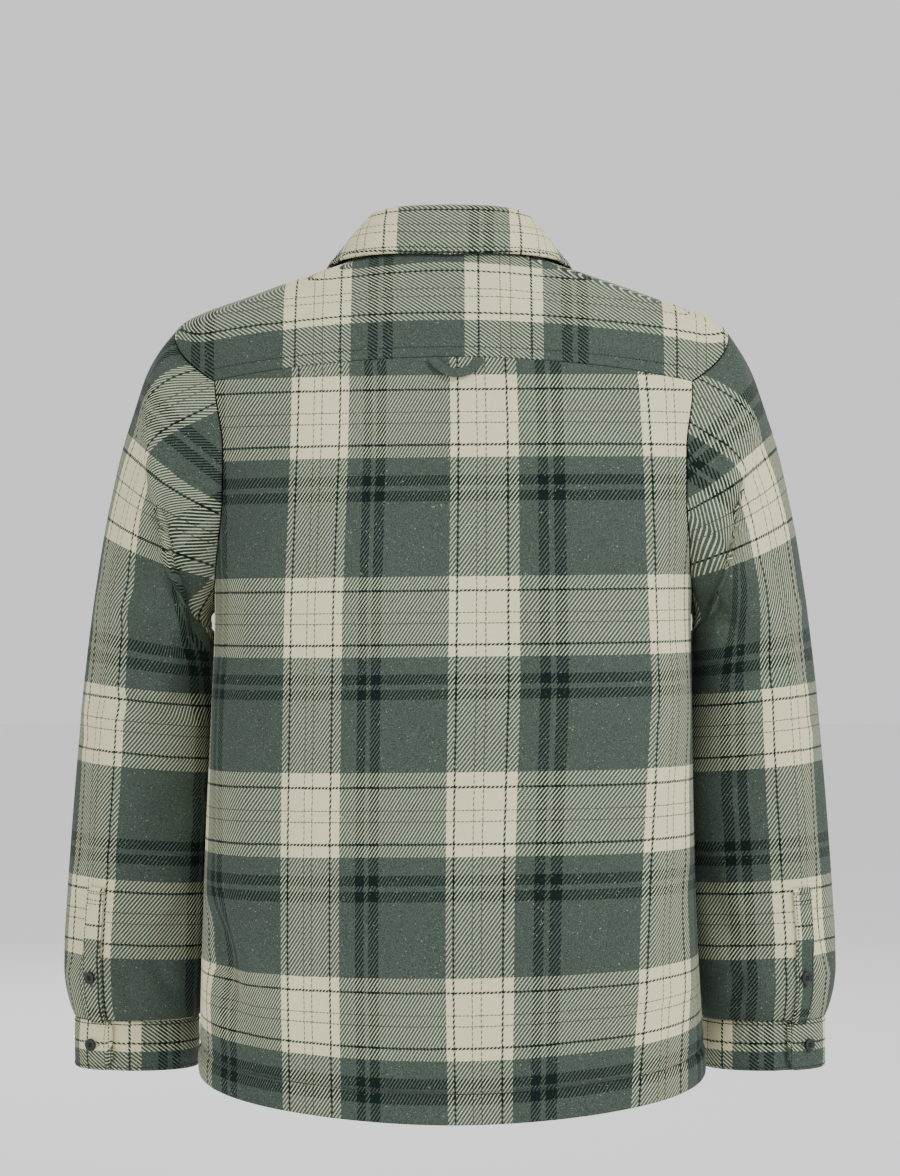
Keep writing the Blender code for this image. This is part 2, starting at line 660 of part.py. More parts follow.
def make_cuff(side, finish, home):
    """A band round the wrist whose outer end laps over the inner one, its corners cut off."""
    name = "cuff_left" if side > 0 else "cuff_right"
    turns = np.linspace(CUFF_END_ANGLE, CUFF_END_ANGLE - 360.0 - CUFF_LAP_ANGLE, CUFF_COLUMNS + 1)
    ring, out = cuff_ring(turns, side)
    past = (CUFF_END_ANGLE - 360.0 + CUFF_UNDER_RAMP - turns) / CUFF_UNDER_RAMP
    ring = ring - out * ((WALL + GAP) * ease(past))[:, None]
    ring[0] += out[0] * CUFF_FLARE
    drops = GAP + np.linspace(0.0, 1.0, CUFF_ROWS) * (CUFF_HEIGHT - GAP)
    outer = ring[None] - drops[:, None, None] * UP
    outer[0, 0, 2] -= CUFF_MITRE_TOP
    outer[-1, 0, 2] += CUFF_MITRE_BOTTOM
    wall(name, outer, outer - out[None] * WALL, finish, home)


def cuff_button_spot(side):
    turns = np.linspace(CUFF_END_ANGLE, CUFF_END_ANGLE - 360.0 - CUFF_LAP_ANGLE, CUFF_COLUMNS + 1)
    ring, out = cuff_ring(turns, side)
    before = int(np.searchsorted(-turns, -CUFF_BUTTON_ANGLE)) - 1
    spot = (ring[before] + ring[before + 1]) / 2
    spot[2] = CUFF_BUTTON_HEIGHT
    run = ring[before + 1] - ring[before]
    way = np.cross(run, UP)
    return spot, unit(way * np.sign(way @ out[before]))


def between_columns(grid, place):
    """Grid points at a fractional column, row by row."""
    columns = grid.shape[1]
    low = int(math.floor(place)) % columns
    part = place - math.floor(place)
    return grid[:, low] * (1.0 - part) + grid[:, (low + 1) % columns] * part


def make_sleeve_placket(side, points, normals, turns, finish, home):
    """The strip over the sleeve's slit, made from the sleeve's own points, moved out."""
    name = "sleeve_placket_left" if side > 0 else "sleeve_placket_right"
    middle = int(np.argmin(np.abs(turns - SLEEVE_PLACKET_ANGLE)))
    rows = np.where(points[:, middle, 2] < SLEEVE_PLACKET_TOP)[0]
    pitch = np.linalg.norm(points[rows[0], middle + 1] - points[rows[0], middle])
    half = SLEEVE_PLACKET_WIDTH / 2 / pitch
    places = (middle - half, middle, middle + half)
    face = np.stack([between_columns(points, place) for place in places], axis=1)[rows]
    out = np.stack([between_columns(normals, place) for place in places], axis=1)[rows]
    out = unit(out)
    inner = face + out * STRIP_CLEAR
    inner[-1, :, 2] += STRIP_END_RISE
    outer = inner + out * WALL
    wall(name, outer, inner, finish, home)
    centre = outer[:, 1]
    order = np.argsort(centre[:, 2])
    spot = np.array([np.interp(SLEEVE_BUTTON_HEIGHT, centre[order, 2], centre[order, k]) for k in range(3)])
    return spot, unit(np.array((out[0, 1, 0], out[0, 1, 1], 0.0)))


def make_button(name, place, way, radius, finish, home):
    """A turned button: flat back, raised rim, dished middle."""
    half = BUTTON_THICKNESS / 2
    profile = [(radius * out, half * up) for out, up in BUTTON_PROFILE]
    mesh = bpy.data.meshes.new(name)
    points = [(r, 0.0, z) for r, z in profile]
    mesh.from_pydata(points, [(i, i + 1) for i in range(len(points) - 1)], [])
    mesh.materials.append(finish)
    thing = bpy.data.objects.new(name, mesh)
    turn = thing.modifiers.new("turned", "SCREW")
    turn.steps = BUTTON_STEPS
    turn.render_steps = BUTTON_STEPS
    turn.use_merge_vertices = True
    turn.merge_threshold = BUTTON_WELD
    thing.rotation_mode = "QUATERNION"
    thing.rotation_quaternion = Vector(way).to_track_quat("Z", "Y")
    stand_off = half + BUTTON_CLEAR
    thing.location = Vector(place) + Vector(way) * stand_off
    home.objects.link(thing)


def roll_column(name, angle):
    """A column of the roll's table at any angle; the right side and the laps mirror the left."""
    mirrored = np.where(angle > 90.0, 180.0 - angle, angle)
    mirrored = np.where(mirrored < CENTRE_FRONT, 2.0 * CENTRE_FRONT - mirrored, mirrored)
    return column(COLLAR_ROLL, name, mirrored)


def roll_middle(angle):
    """The middle of the collar's roll, and the level way out from the neck there."""
    turn = np.radians(angle)
    out = np.stack((np.cos(turn), np.sin(turn), np.zeros_like(turn)), axis=-1)
    x = roll_column("half_width", angle) * np.cos(turn)
    y = roll_column("depth", angle) * np.sin(turn)
    z = roll_column("height", angle) - ROLL_HEIGHT
    return np.stack((x, y, z), axis=-1), out


def make_stand(finish, home):
    """The band that holds the collar up, from the neck seam to under the roll."""
    half = STAND_LAP_ANGLE
    angle = np.linspace(CENTRE_FRONT - half, 180.0 - CENTRE_FRONT + half, STAND_COLUMNS + 1)
    foot = body(angle, np.ones_like(angle)) + UP * GAP * 2
    middle, out = roll_middle(angle)
    brow = middle - out * (ROLL_RADIUS - WALL) - UP * (ROLL_DROP + GAP)
    sink = (WALL + GAP * 2) * ease((angle - (180.0 - CENTRE_FRONT - half)) / half + 1.0)
    shift = out * sink[:, None]
    steps = np.array((0.0, 0.5, 1.0))[:, None, None]
    outer = foot[None] + (brow - foot)[None] * steps - shift[None]
    wall("collar_stand", outer, outer - out[None] * WALL, finish, home)


def collar_line(angle, step):
    """One line round the collar, from inside at the stand, over the roll, to the leaf's edge."""
    middle, out = roll_middle(angle)
    if step < ROLL_START:
        return middle - out * ROLL_RADIUS - UP * ROLL_DROP * (1.0 - step / ROLL_START)
    if step < ROLL_END:
        swing = math.pi * (step - ROLL_START) / (ROLL_END - ROLL_START)
        return middle - out * ROLL_RADIUS * math.cos(swing) + UP * ROLL_HEIGHT * math.sin(swing)
    down = (step - ROLL_END) / (1.0 - ROLL_END)
    brow = middle + out * ROLL_RADIUS
    leaf = roll_column("leaf_climb", angle)
    edge = body(angle, leaf) + body_normals(angle, leaf) * (COLLAR_WALL + COLLAR_REST)
    return brow + (edge - brow) * down + out * COLLAR_BULGE * math.sin(math.pi * down)


def make_collar(finish, home):
    """The leaf: up from the stand, over the roll, and down onto the shoulders."""
    share = np.linspace(0.0, 1.0, COLLAR_COLUMNS + 1)
    rows = []
    for step in COLLAR_STEPS:
        down = max(0.0, step - ROLL_END) / (1.0 - ROLL_END)
        trim = COLLAR_END_AT_ROLL + (COLLAR_END_AT_POINT - COLLAR_END_AT_ROLL) * down
        start = CENTRE_FRONT + trim
        rows.append(collar_line(start + (180.0 - 2.0 * start) * share, step))
    outer = np.array(rows)
    along = np.gradient(outer, axis=1)
    down = np.gradient(outer, axis=0)
    inner = outer - unit(np.cross(down, along)) * COLLAR_WALL
    wall("collar", outer, inner, finish, home)


def on_back(x, below, lift):
    """A point this far below the yoke seam, lifted off the back's face."""
    climb = YOKE_SEAM - below / BACK_RISE
    angle = np.degrees(np.arccos(np.clip(x / column(BODY_RINGS, "half_width", climb), -1.0, 1.0)))
    return body(angle, climb) + body_normals(angle, climb) * lift[..., None]


def make_loop(finish, home):
    """A narrow band hanging in a shallow curve under the yoke seam."""
    share = np.linspace(0.0, 1.0, LOOP_STEPS + 1)
    x = LOOP_LEFT + (LOOP_RIGHT - LOOP_LEFT) * share
    sag = np.sin(math.pi * share) ** LOOP_FULLNESS
    path = np.stack((x, LOOP_START + LOOP_DROP * sag), axis=-1)
    along = unit(np.gradient(path, axis=0))
    across = np.stack((-along[:, 1], along[:, 0]), axis=-1)
    lift = LOOP_CLEAR + LOOP_STAND_OFF * sag
    rows = []
    for side in (-1.0, 1.0):
        edge = path + across * LOOP_BAND / 2 * side
        rows.append(np.stack((edge[:, 0], np.maximum(edge[:, 1], LOOP_START / 2), lift), axis=-1))
    under = np.array([on_back(row[:, 0], row[:, 1], row[:, 2]) for row in rows])
    over = np.array([on_back(row[:, 0], row[:, 1], row[:, 2] + LOOP_WALL) for row in rows])
    wall("hanger_loop", over, under, finish, home)


def main():
    clear_scene()
    home = bpy.data.collections.new("shacket")
    bpy.context.scene.collection.children.link(home)
    cloth = material("plaid_cloth", GREEN, 0.92)
    trim = material("plaid_trim", CREAM, 0.92)
    hard = material("button", BUTTON_GREEN, 0.35)

    seams = (armhole_seam(1), armhole_seam(-1))
    make_back(seams, cloth, home)
    make_yoke(seams, trim, home)
    make_front_left(seams, cloth, home)
    make_front_right(seams, cloth, home)
    make_placket(trim, home)
    for side, folds, seam in ((1, LEFT_SLEEVE_FOLDS, seams[0]), (-1, RIGHT_SLEEVE_FOLDS, seams[1])):
        points, normals, turns = make_sleeve(side, folds, seam, cloth, home)
        make_cuff(side, trim, home)
        spot, way = make_sleeve_placket(side, points, normals, turns, trim, home)
        label = "left" if side > 0 else "right"
        make_button("sleeve_button_" + label, spot, way, SLEEVE_BUTTON_RADIUS, hard, home)
        spot, way = cuff_button_spot(side)
        make_button("cuff_button_" + label, spot, way, SLEEVE_BUTTON_RADIUS, hard, home)
    make_stand(trim, home)
    make_collar(trim, home)
    make_loop(cloth, home)
    for count, climb in enumerate(np.linspace(FIRST_BUTTON_CLIMB, LAST_BUTTON_CLIMB, FRONT_BUTTONS)):
        place = body(CENTRE_FRONT, climb)
        way = body_normals(CENTRE_FRONT, climb)
        make_button("front_button_%d" % (count + 1), place, way, FRONT_BUTTON_RADIUS, hard, home)


main()
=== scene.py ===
"""Looks for the shacket: its cloth as thin shells on the part's own form, its plaid, stitching and buttons.

Metres, +Z up. The wearer's front faces -Y, and the camera stands behind the wearer.
"""
import math
from collections import namedtuple

import bmesh
import bpy
import numpy as np
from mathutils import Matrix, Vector

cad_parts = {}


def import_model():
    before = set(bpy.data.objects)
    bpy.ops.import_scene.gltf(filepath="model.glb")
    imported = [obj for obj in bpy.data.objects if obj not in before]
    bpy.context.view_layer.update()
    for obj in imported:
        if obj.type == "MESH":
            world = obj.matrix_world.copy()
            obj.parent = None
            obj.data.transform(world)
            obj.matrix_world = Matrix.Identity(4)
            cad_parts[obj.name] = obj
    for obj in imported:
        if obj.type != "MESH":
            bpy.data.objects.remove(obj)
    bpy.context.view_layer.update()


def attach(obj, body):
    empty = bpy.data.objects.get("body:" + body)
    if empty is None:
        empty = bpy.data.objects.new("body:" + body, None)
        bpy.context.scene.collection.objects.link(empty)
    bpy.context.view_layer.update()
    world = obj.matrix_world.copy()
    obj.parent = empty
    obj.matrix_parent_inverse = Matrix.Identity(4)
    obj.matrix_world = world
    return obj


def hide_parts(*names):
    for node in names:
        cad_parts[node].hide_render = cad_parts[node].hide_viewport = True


# Cloth
WALL = 0.0026
COLLAR_WALL = 0.0030
LOOP_WALL = 0.0018
GAP = 0.0003

# Where the panels meet, as climb: 0 is the hem and 1 the neck seam
ARMPIT = 0.565
YOKE_SEAM = 0.86
YOKE_CORNER_ANGLE = 36.0
FRONT_SEAM_ANGLE = -24.0
FRONT_SEAM_CLIMB = 0.900
CENTRE_FRONT = -90.0

# Front closing
PLACKET_WIDTH = 0.032
LAP_RAMP = 0.012
FRONT_BUTTONS = 7
FIRST_BUTTON_CLIMB = 0.93
LAST_BUTTON_CLIMB = 0.13

# Body section
FRONT_SQUARENESS = 2.3
FRONT_NARROWING = 0.40
FRONT_NARROWING_POWER = 1.5
HEM_BAND = 0.034
HEM_PUFF = 0.0012
HEM_GROOVE = 0.0030
HEM_GROOVE_WIDTH = 0.0038

# Collar
ROLL_RADIUS = 0.0048
ROLL_HEIGHT = 0.0034
ROLL_DROP = 0.006
ROLL_START = 0.14
ROLL_END = 0.36
COLLAR_REST = 0.0014
COLLAR_BULGE = 0.0035
STAND_LAP_ANGLE = 9.88

# Cuff and sleeve end
CUFF_TOP = -0.6625
CUFF_HEIGHT = 0.043
CUFF_LAP_ANGLE = 30.0
CUFF_END_ANGLE = 72.0
CUFF_COLUMNS = 26
CUFF_UNDER_RAMP = 12.0
CUFF_MITRE_TOP = 0.004
CUFF_MITRE_BOTTOM = 0.010
CUFF_FLARE = 0.0015
CUFF_BUTTON_ANGLE = 52.0
CUFF_BUTTON_HEIGHT = -0.684
SLEEVE_PLACKET_ANGLE = 60.0
SLEEVE_PLACKET_WIDTH = 0.017
SLEEVE_PLACKET_TOP = -0.545
SLEEVE_BUTTON_HEIGHT = -0.624
STRIP_CLEAR = 0.0008

# Buttons
FRONT_BUTTON_RADIUS = 0.0075
SLEEVE_BUTTON_RADIUS = 0.0054
BUTTON_THICKNESS = 0.0030

Ring = namedtuple("Ring", "climb half_width shift side_height back_depth back_height "
                          "front_depth front_height squareness")
BODY_RINGS = (
    Ring(0.000, 0.2155, -0.002, -0.698, 0.150, -0.728, 0.142, -0.724, 3.0),
    Ring(0.150, 0.2110, 0.000, -0.594, 0.150, -0.617, 0.141, -0.616, 3.0),
    Ring(0.300, 0.2075, 0.000, -0.490, 0.149, -0.506, 0.139, -0.508, 3.0),
    Ring(0.450, 0.2045, -0.0015, -0.388, 0.147, -0.397, 0.137, -0.402, 3.0),
    Ring(0.565, 0.2030, -0.0025, -0.310, 0.143, -0.314, 0.133, -0.322, 2.9),
    Ring(0.680, 0.2080, -0.0035, -0.232, 0.137, -0.231, 0.129, -0.248, 2.8),
    Ring(0.780, 0.2200, -0.004, -0.180, 0.127, -0.157, 0.122, -0.190, 2.6),
    Ring(0.860, 0.2320, -0.003, -0.126, 0.113, -0.099, 0.112, -0.150, 2.5),
    Ring(0.915, 0.2310, -0.001, -0.066, 0.094, -0.055, 0.101, -0.124, 2.4),
    Ring(0.950, 0.1720, 0.000, -0.042, 0.079, -0.028, 0.091, -0.106, 2.2),
    Ring(1.000, 0.0840, 0.001, -0.0115, 0.058, 0.000, 0.072, -0.078, 2.0),
)

# The armhole is an oval on the body's form: its edge's angle up the back and the front,
# and its climb over the shoulder
ArmEdge = namedtuple("ArmEdge", "climb angle")
BACK_ARM_EDGE = (
    ArmEdge(0.565, 0.0), ArmEdge(0.600, 16.0), ArmEdge(0.660, 27.0), ArmEdge(0.740, 33.0),
    ArmEdge(0.800, 35.5), ArmEdge(0.860, 36.0),
)
FRONT_ARM_EDGE = (
    ArmEdge(0.565, 0.0), ArmEdge(0.600, -13.0), ArmEdge(0.660, -22.0), ArmEdge(0.740, -27.0),
    ArmEdge(0.800, -28.5), ArmEdge(0.860, -27.0), ArmEdge(0.900, -24.0),
)
TopEdge = namedtuple("TopEdge", "angle climb")
SHOULDER_EDGE = (
    TopEdge(-24.0, 0.900), TopEdge(-13.0, 0.913), TopEdge(0.0, 0.917), TopEdge(14.0, 0.904),
    TopEdge(26.0, 0.881), TopEdge(36.0, 0.860),
)

# Sleeve sections: the outer point, the inner point, the depth and where its middle lies
Section = namedtuple("Section", "run outer_x outer_z inner_x inner_z depth middle_y squareness")
SLEEVE_SECTIONS = (
    Section(0.030, 0.2465, -0.085, 0.2105, -0.318, 0.150, 0.002, 2.0),
    Section(0.120, 0.2740, -0.150, 0.2130, -0.330, 0.156, -0.006, 2.1),
    Section(0.220, 0.2920, -0.219, 0.2115, -0.343, 0.154, -0.013, 2.1),
    Section(0.320, 0.3050, -0.287, 0.2070, -0.364, 0.152, -0.026, 2.1),
    Section(0.430, 0.3155, -0.356, 0.2010, -0.400, 0.148, -0.041, 2.1),
    Section(0.550, 0.3230, -0.424, 0.1980, -0.448, 0.142, -0.050, 2.2),
    Section(0.670, 0.3290, -0.493, 0.1990, -0.505, 0.138, -0.053, 2.2),
    Section(0.790, 0.3340, -0.562, 0.2020, -0.566, 0.132, -0.056, 2.2),
    Section(0.850, 0.3360, -0.596, 0.2045, -0.598, 0.128, -0.057, 2.2),
    Section(0.915, 0.3355, -0.631, 0.2080, -0.632, 0.122, -0.057, 2.2),
    Section(0.965, 0.3310, -0.652, 0.2135, -0.652, 0.110, -0.057, 2.2),
    Section(1.000, 0.3270, CUFF_TOP, 0.2190, CUFF_TOP, 0.094, -0.057, 2.2),
)

# Largest folds: a line in the front or back view, its width and depth (troughs are negative);
# side is +1 for the back and -1 for the front
Fold = namedtuple("Fold", "side x0 z0 x1 z1 width depth")
BODY_FOLDS = (
    Fold(1, 0.190, -0.300, 0.150, -0.470, 0.018, -0.0035),
    Fold(1, -0.192, -0.280, -0.165, -0.430, 0.018, -0.0030),
    Fold(1, 0.196, -0.560, 0.183, -0.640, 0.012, -0.0040),
    Fold(1, 0.060, -0.480, 0.075, -0.660, 0.026, -0.0025),
    Fold(1, -0.070, -0.420, -0.055, -0.600, 0.028, -0.0025),
    Fold(-1, 0.175, -0.250, 0.105, -0.330, 0.018, -0.0040),
    Fold(-1, -0.175, -0.255, -0.110, -0.345, 0.018, -0.0040),
    Fold(-1, 0.110, -0.440, 0.090, -0.620, 0.024, -0.0030),
    Fold(-1, -0.115, -0.460, -0.095, -0.640, 0.024, -0.0030),
)
BODY_CREASES = (
    Fold(1, 0.200, -0.565, 0.180, -0.597, 0.008, -0.0044),
    Fold(1, 0.188, -0.600, 0.168, -0.655, 0.010, -0.0036),
    Fold(1, 0.172, -0.585, 0.150, -0.640, 0.014, 0.0016),
    Fold(1, -0.190, -0.430, -0.178, -0.520, 0.012, -0.0020),
    Fold(1, -0.193, -0.540, -0.170, -0.640, 0.013, -0.0026),
    Fold(1, -0.150, -0.560, -0.160, -0.690, 0.017, 0.0018),
    Fold(1, 0.120, -0.200, 0.130, -0.420, 0.022, -0.0014),
    Fold(1, -0.128, -0.150, -0.120, -0.330, 0.020, -0.0016),
    Fold(1, 0.020, -0.540, 0.004, -0.700, 0.020, -0.0016),
    Fold(1, -0.110, -0.600, -0.100, -0.700, 0.016, -0.0018),
    Fold(1, 0.105, -0.610, 0.118, -0.700, 0.016, -0.0018),
    Fold(1, -0.022, -0.330, -0.010, -0.470, 0.024, -0.0012),
    Fold(1, 0.178, -0.360, 0.168, -0.540, 0.016, 0.0016),
    Fold(1, -0.195, -0.118, -0.160, -0.108, 0.008, -0.0012),
    Fold(1, -0.060, -0.040, -0.130, -0.062, 0.010, -0.0012),
    Fold(1, 0.070, -0.040, 0.140, -0.064, 0.010, -0.0012),
    Fold(-1, 0.150, -0.330, 0.080, -0.420, 0.014, -0.0022),
    Fold(-1, -0.148, -0.350, -0.085, -0.450, 0.014, -0.0022),
    Fold(-1, 0.160, -0.480, 0.150, -0.640, 0.015, -0.0020),
    Fold(-1, -0.158, -0.500, -0.150, -0.660, 0.015, -0.0022),
    Fold(-1, 0.060, -0.540, 0.055, -0.700, 0.014, -0.0016),
    Fold(-1, -0.070, -0.560, -0.060, -0.700, 0.014, -0.0016),
    Fold(-1, 0.130, -0.150, 0.090, -0.210, 0.013, -0.0018),
    Fold(-1, -0.128, -0.150, -0.092, -0.215, 0.013, -0.0018),
)
LEFT_SLEEVE_CREASES = (
    Fold(1, 0.196, -0.300, 0.226, -0.338, 0.007, -0.0050),
    Fold(1, 0.232, -0.400, 0.300, -0.385, 0.009, -0.0032),
    Fold(1, 0.205, -0.462, 0.262, -0.490, 0.010, -0.0026),
    Fold(1, 0.300, -0.330, 0.312, -0.420, 0.008, -0.0024),
    Fold(1, 0.312, -0.540, 0.328, -0.612, 0.007, -0.0028),
    Fold(1, 0.250, -0.520, 0.300, -0.545, 0.011, -0.0018),
    Fold(1, 0.215, -0.545, 0.245, -0.600, 0.009, -0.0022),
    Fold(1, 0.236, -0.640, 0.252, -0.612, 0.006, -0.0018),
    Fold(1, 0.272, -0.644, 0.282, -0.615, 0.006, -0.0018),
    Fold(1, 0.214, -0.188, 0.240, -0.232, 0.007, -0.0046),
    Fold(-1, 0.240, -0.290, 0.300, -0.330, 0.012, -0.0028),
    Fold(-1, 0.220, -0.350, 0.300, -0.372, 0.010, -0.0034),
    Fold(-1, 0.230, -0.520, 0.310, -0.535, 0.012, -0.0026),
    Fold(-1, 0.250, -0.640, 0.262, -0.600, 0.006, -0.0020),
    Fold(-1, 0.290, -0.640, 0.296, -0.606, 0.006, -0.0020),
)
RIGHT_SLEEVE_CREASES = (
    Fold(1, 0.204, -0.128, 0.226, -0.196, 0.006, -0.0058),
    Fold(1, 0.228, -0.150, 0.238, -0.222, 0.006, 0.0036),
    Fold(1, 0.206, -0.200, 0.246, -0.232, 0.006, -0.0050),
    Fold(1, 0.204, -0.236, 0.232, -0.262, 0.006, -0.0044),
    Fold(1, 0.200, -0.292, 0.236, -0.318, 0.007, -0.0036),
    Fold(1, 0.212, -0.352, 0.262, -0.372, 0.009, -0.0024),
    Fold(1, 0.300, -0.320, 0.312, -0.400, 0.008, -0.0024),
    Fold(1, 0.310, -0.530, 0.327, -0.610, 0.007, -0.0028),
    Fold(1, 0.205, -0.440, 0.270, -0.470, 0.011, -0.0020),
    Fold(1, 0.212, -0.520, 0.240, -0.590, 0.009, -0.0022),
    Fold(1, 0.240, -0.642, 0.254, -0.612, 0.006, -0.0018),
    Fold(1, 0.276, -0.642, 0.284, -0.614, 0.006, -0.0018),
    Fold(-1, 0.238, -0.280, 0.296, -0.322, 0.012, -0.0028),
    Fold(-1, 0.222, -0.340, 0.300, -0.366, 0.010, -0.0034),
    Fold(-1, 0.228, -0.530, 0.306, -0.540, 0.012, -0.0026),
    Fold(-1, 0.248, -0.640, 0.258, -0.602, 0.006, -0.0020),
    Fold(-1, 0.288, -0.640, 0.300, -0.608, 0.006, -0.0020),
)
LEFT_SLEEVE_FOLDS = (
    Fold(1, 0.205, -0.170, 0.262, -0.290, 0.013, -0.0050),
    Fold(1, 0.208, -0.250, 0.250, -0.345, 0.012, -0.0045),
    Fold(1, 0.215, -0.330, 0.290, -0.300, 0.012, 0.0030),
    Fold(1, 0.205, -0.370, 0.260, -0.420, 0.013, -0.0040),
    Fold(1, 0.320, -0.420, 0.322, -0.600, 0.012, -0.0040),
    Fold(1, 0.225, -0.600, 0.290, -0.628, 0.012, -0.0030),
    Fold(-1, 0.212, -0.230, 0.268, -0.330, 0.014, -0.0050),
    Fold(-1, 0.210, -0.390, 0.300, -0.430, 0.014, -0.0045),
    Fold(-1, 0.215, -0.470, 0.310, -0.450, 0.013, -0.0040),
    Fold(-1, 0.225, -0.610, 0.300, -0.590, 0.013, -0.0035),
)
RIGHT_SLEEVE_FOLDS = (
    Fold(1, 0.208, -0.140, 0.255, -0.265, 0.013, -0.0055),
    Fold(1, 0.222, -0.130, 0.285, -0.290, 0.012, -0.0045),
    Fold(1, 0.208, -0.290, 0.270, -0.360, 0.013, -0.0045),
    Fold(1, 0.205, -0.300, 0.215, -0.350, 0.010, 0.0030),
    Fold(1, 0.320, -0.400, 0.324, -0.600, 0.012, -0.0040),
    Fold(1, 0.230, -0.590, 0.300, -0.615, 0.012, -0.0030),
    Fold(-1, 0.212, -0.220, 0.262, -0.340, 0.014, -0.0050),
    Fold(-1, 0.210, -0.400, 0.295, -0.420, 0.014, -0.0045),
    Fold(-1, 0.220, -0.480, 0.310, -0.470, 0.013, -0.0040),
    Fold(-1, 0.230, -0.600, 0.300, -0.585, 0.013, -0.0035),
)

# Collar: the top of its roll round the neck, and how far down the body its leaf lies
RollEdge = namedtuple("RollEdge", "angle half_width depth height leaf_climb")
COLLAR_ROLL = (
    RollEdge(-90.0, 0.0640, 0.0620, -0.046, 0.905),
    RollEdge(-60.0, 0.0640, 0.0610, -0.034, 0.915),
    RollEdge(-30.0, 0.0650, 0.0590, -0.004, 0.965),
    RollEdge(0.0, 0.0665, 0.0560, 0.0225, 0.9905),
    RollEdge(45.0, 0.0690, 0.0500, 0.0320, 0.985),
    RollEdge(90.0, 0.0690, 0.0480, 0.0335, 0.975),
)
COLLAR_END_AT_ROLL = 11.0
COLLAR_END_AT_POINT = 27.0

# Hanger loop under the yoke seam at the centre of the back
LOOP_LEFT = 0.0182
LOOP_RIGHT = -0.0226
LOOP_START = 0.0015
LOOP_DROP = 0.0135
LOOP_BAND = 0.0075
LOOP_CLEAR = 0.0008
LOOP_STAND_OFF = 0.0028
BACK_RISE = 0.74

UP = np.array((0.0, 0.0, 1.0))

# A fold's depth at its ends, how soon it shows as cloth turns to face it, and the bank beside it
FOLD_END_DEPTH = 0.55
FOLD_FACING = 2.5
BANK_SHARE = 0.22
BANK_AWAY = 1.9
BANK_WIDTH = 0.7

# Small steps for reading a normal, and how far cloth is drawn in at a seam
ANGLE_STEP = 0.02
CLIMB_STEP = 0.0002
SEAM_DRAW = 0.00005
PLACKET_DRAW = 0.00008

# Cloth lengths that space the fine rows at an edge
BACK_LENGTH = 0.72
BACK_WIDTH = 0.50
FRONT_LENGTH = 0.74
FRONT_CUT_WIDTH = 0.23
HEM_ROWS = np.linspace(HEM_BAND - 0.009, HEM_BAND + 0.009, 13)
RIGHT_LAP_SHARE = 0.92

# Sleeves: folds fade in from the armhole and out at the cuff, and cloth swells under the arm
SLEEVE_HEAD_GAP = 0.0005
SLEEVE_HEAD_FADE = 0.012
FOLDS_FADE_IN = 0.06
FOLDS_FADE_OUT = 0.08
SWELL_FADE_IN = 0.05
SWELL_FROM = 0.80
SLEEVE_FULL_BELOW = 0.43
SLEEVE_FULL_FADE = 0.06
SLEEVE_FULL_START = 0.075
SLEEVE_FULLNESS = 0.5

# What differs between the wearer's left arm (side 1) and right arm (side -1)
Arm = namedtuple("Arm", "side label folds swell_height swell_reach swell warp line_turn cuff_line")
ARMS = (
    Arm(1, "left", LEFT_SLEEVE_FOLDS + LEFT_SLEEVE_CREASES,
        -0.330, 0.030, 0.0108, 0.0072, 67.0, 0.2659),
    Arm(-1, "right", RIGHT_SLEEVE_FOLDS + RIGHT_SLEEVE_CREASES,
        -0.332, 0.024, 0.0060, 0.0491, 75.0, 0.2438),
)

# The plaid's place on the smaller pieces
PLACKET_WARP = 0.029
CUFF_WARP_TOP = 0.0265
CUFF_WEFT = 0.0677
CUFF_BACK_START = -185.0
CUFF_BACK_END = -275.0
CUFF_MITRE_TURN = 7.0
CUFF_FLARE_TURN = 14.0
CUFF_SWELL = 0.0003
COLLAR_WARP_TOP = -0.001
COLLAR_WEFT = -0.0449
LOOP_WARP = 0.118
LOOP_WEFT = 0.7720
LOOP_WEFT_RATE = 0.15
LOOP_SAG_POWER = 0.75
STRIP_WARP = 0.005
STRIP_WEFT = 0.045
STRIP_END_RISE = 0.0010
STAND_WARP = 0.01
STAND_WEFT = 0.3

# Sewing
STITCH_LIFT = 0.00016
STITCH_SIZE = {"Pitch": 0.0031, "Length": 0.0013, "Thickness": 0.00045}
BUTTONHOLE_SIZE = {"Pitch": 0.0007, "Length": 0.00055, "Thickness": 0.00024}
BUTTON_THREAD_SIZE = {"Pitch": 0.0006, "Length": 0.0005, "Thickness": 0.0003}
BUTTONHOLE_HALF_WIDTH = 0.0011
FRONT_BUTTONHOLE = 0.0205
CUFF_BUTTONHOLE = 0.0165
STRIP_BUTTON_LIFT = 0.0010
CUFF_BUTTON_LIFT = 0.0005
YOKE_STITCH_CLIMB = 0.0105
PLACKET_STITCH = 0.62
CUFF_STITCH = 0.0032
STRIP_STITCH = 0.0022
STRIP_BOX = 0.0120
COLLAR_STITCH = 0.0060
COLLAR_SEAM_FROM = 0.40

# A button's face as (share of its radius, share of its half thickness), and its holes
BUTTON_FACE = (
    (0.0, 0.40), (0.60, 0.44), (0.68, 0.55), (0.76, 0.92), (0.85, 1.0), (0.93, 0.93), (1.0, 0.45),
)
BUTTON_SIDE = ((1.0, 0.2), (1.0, -0.6), (0.96, -0.88), (0.86, -1.0))
BUTTON_RIM_RADII = (0.68, 0.74, 0.79, 0.85, 0.91, 0.96, 0.99)
HOLE_RING = 0.26
HOLE_SIZE = 0.12
HOLE_DEPTH = 0.0011
HOLE_SPREAD = 1.6
BUTTON_CLEAR = 0.0001


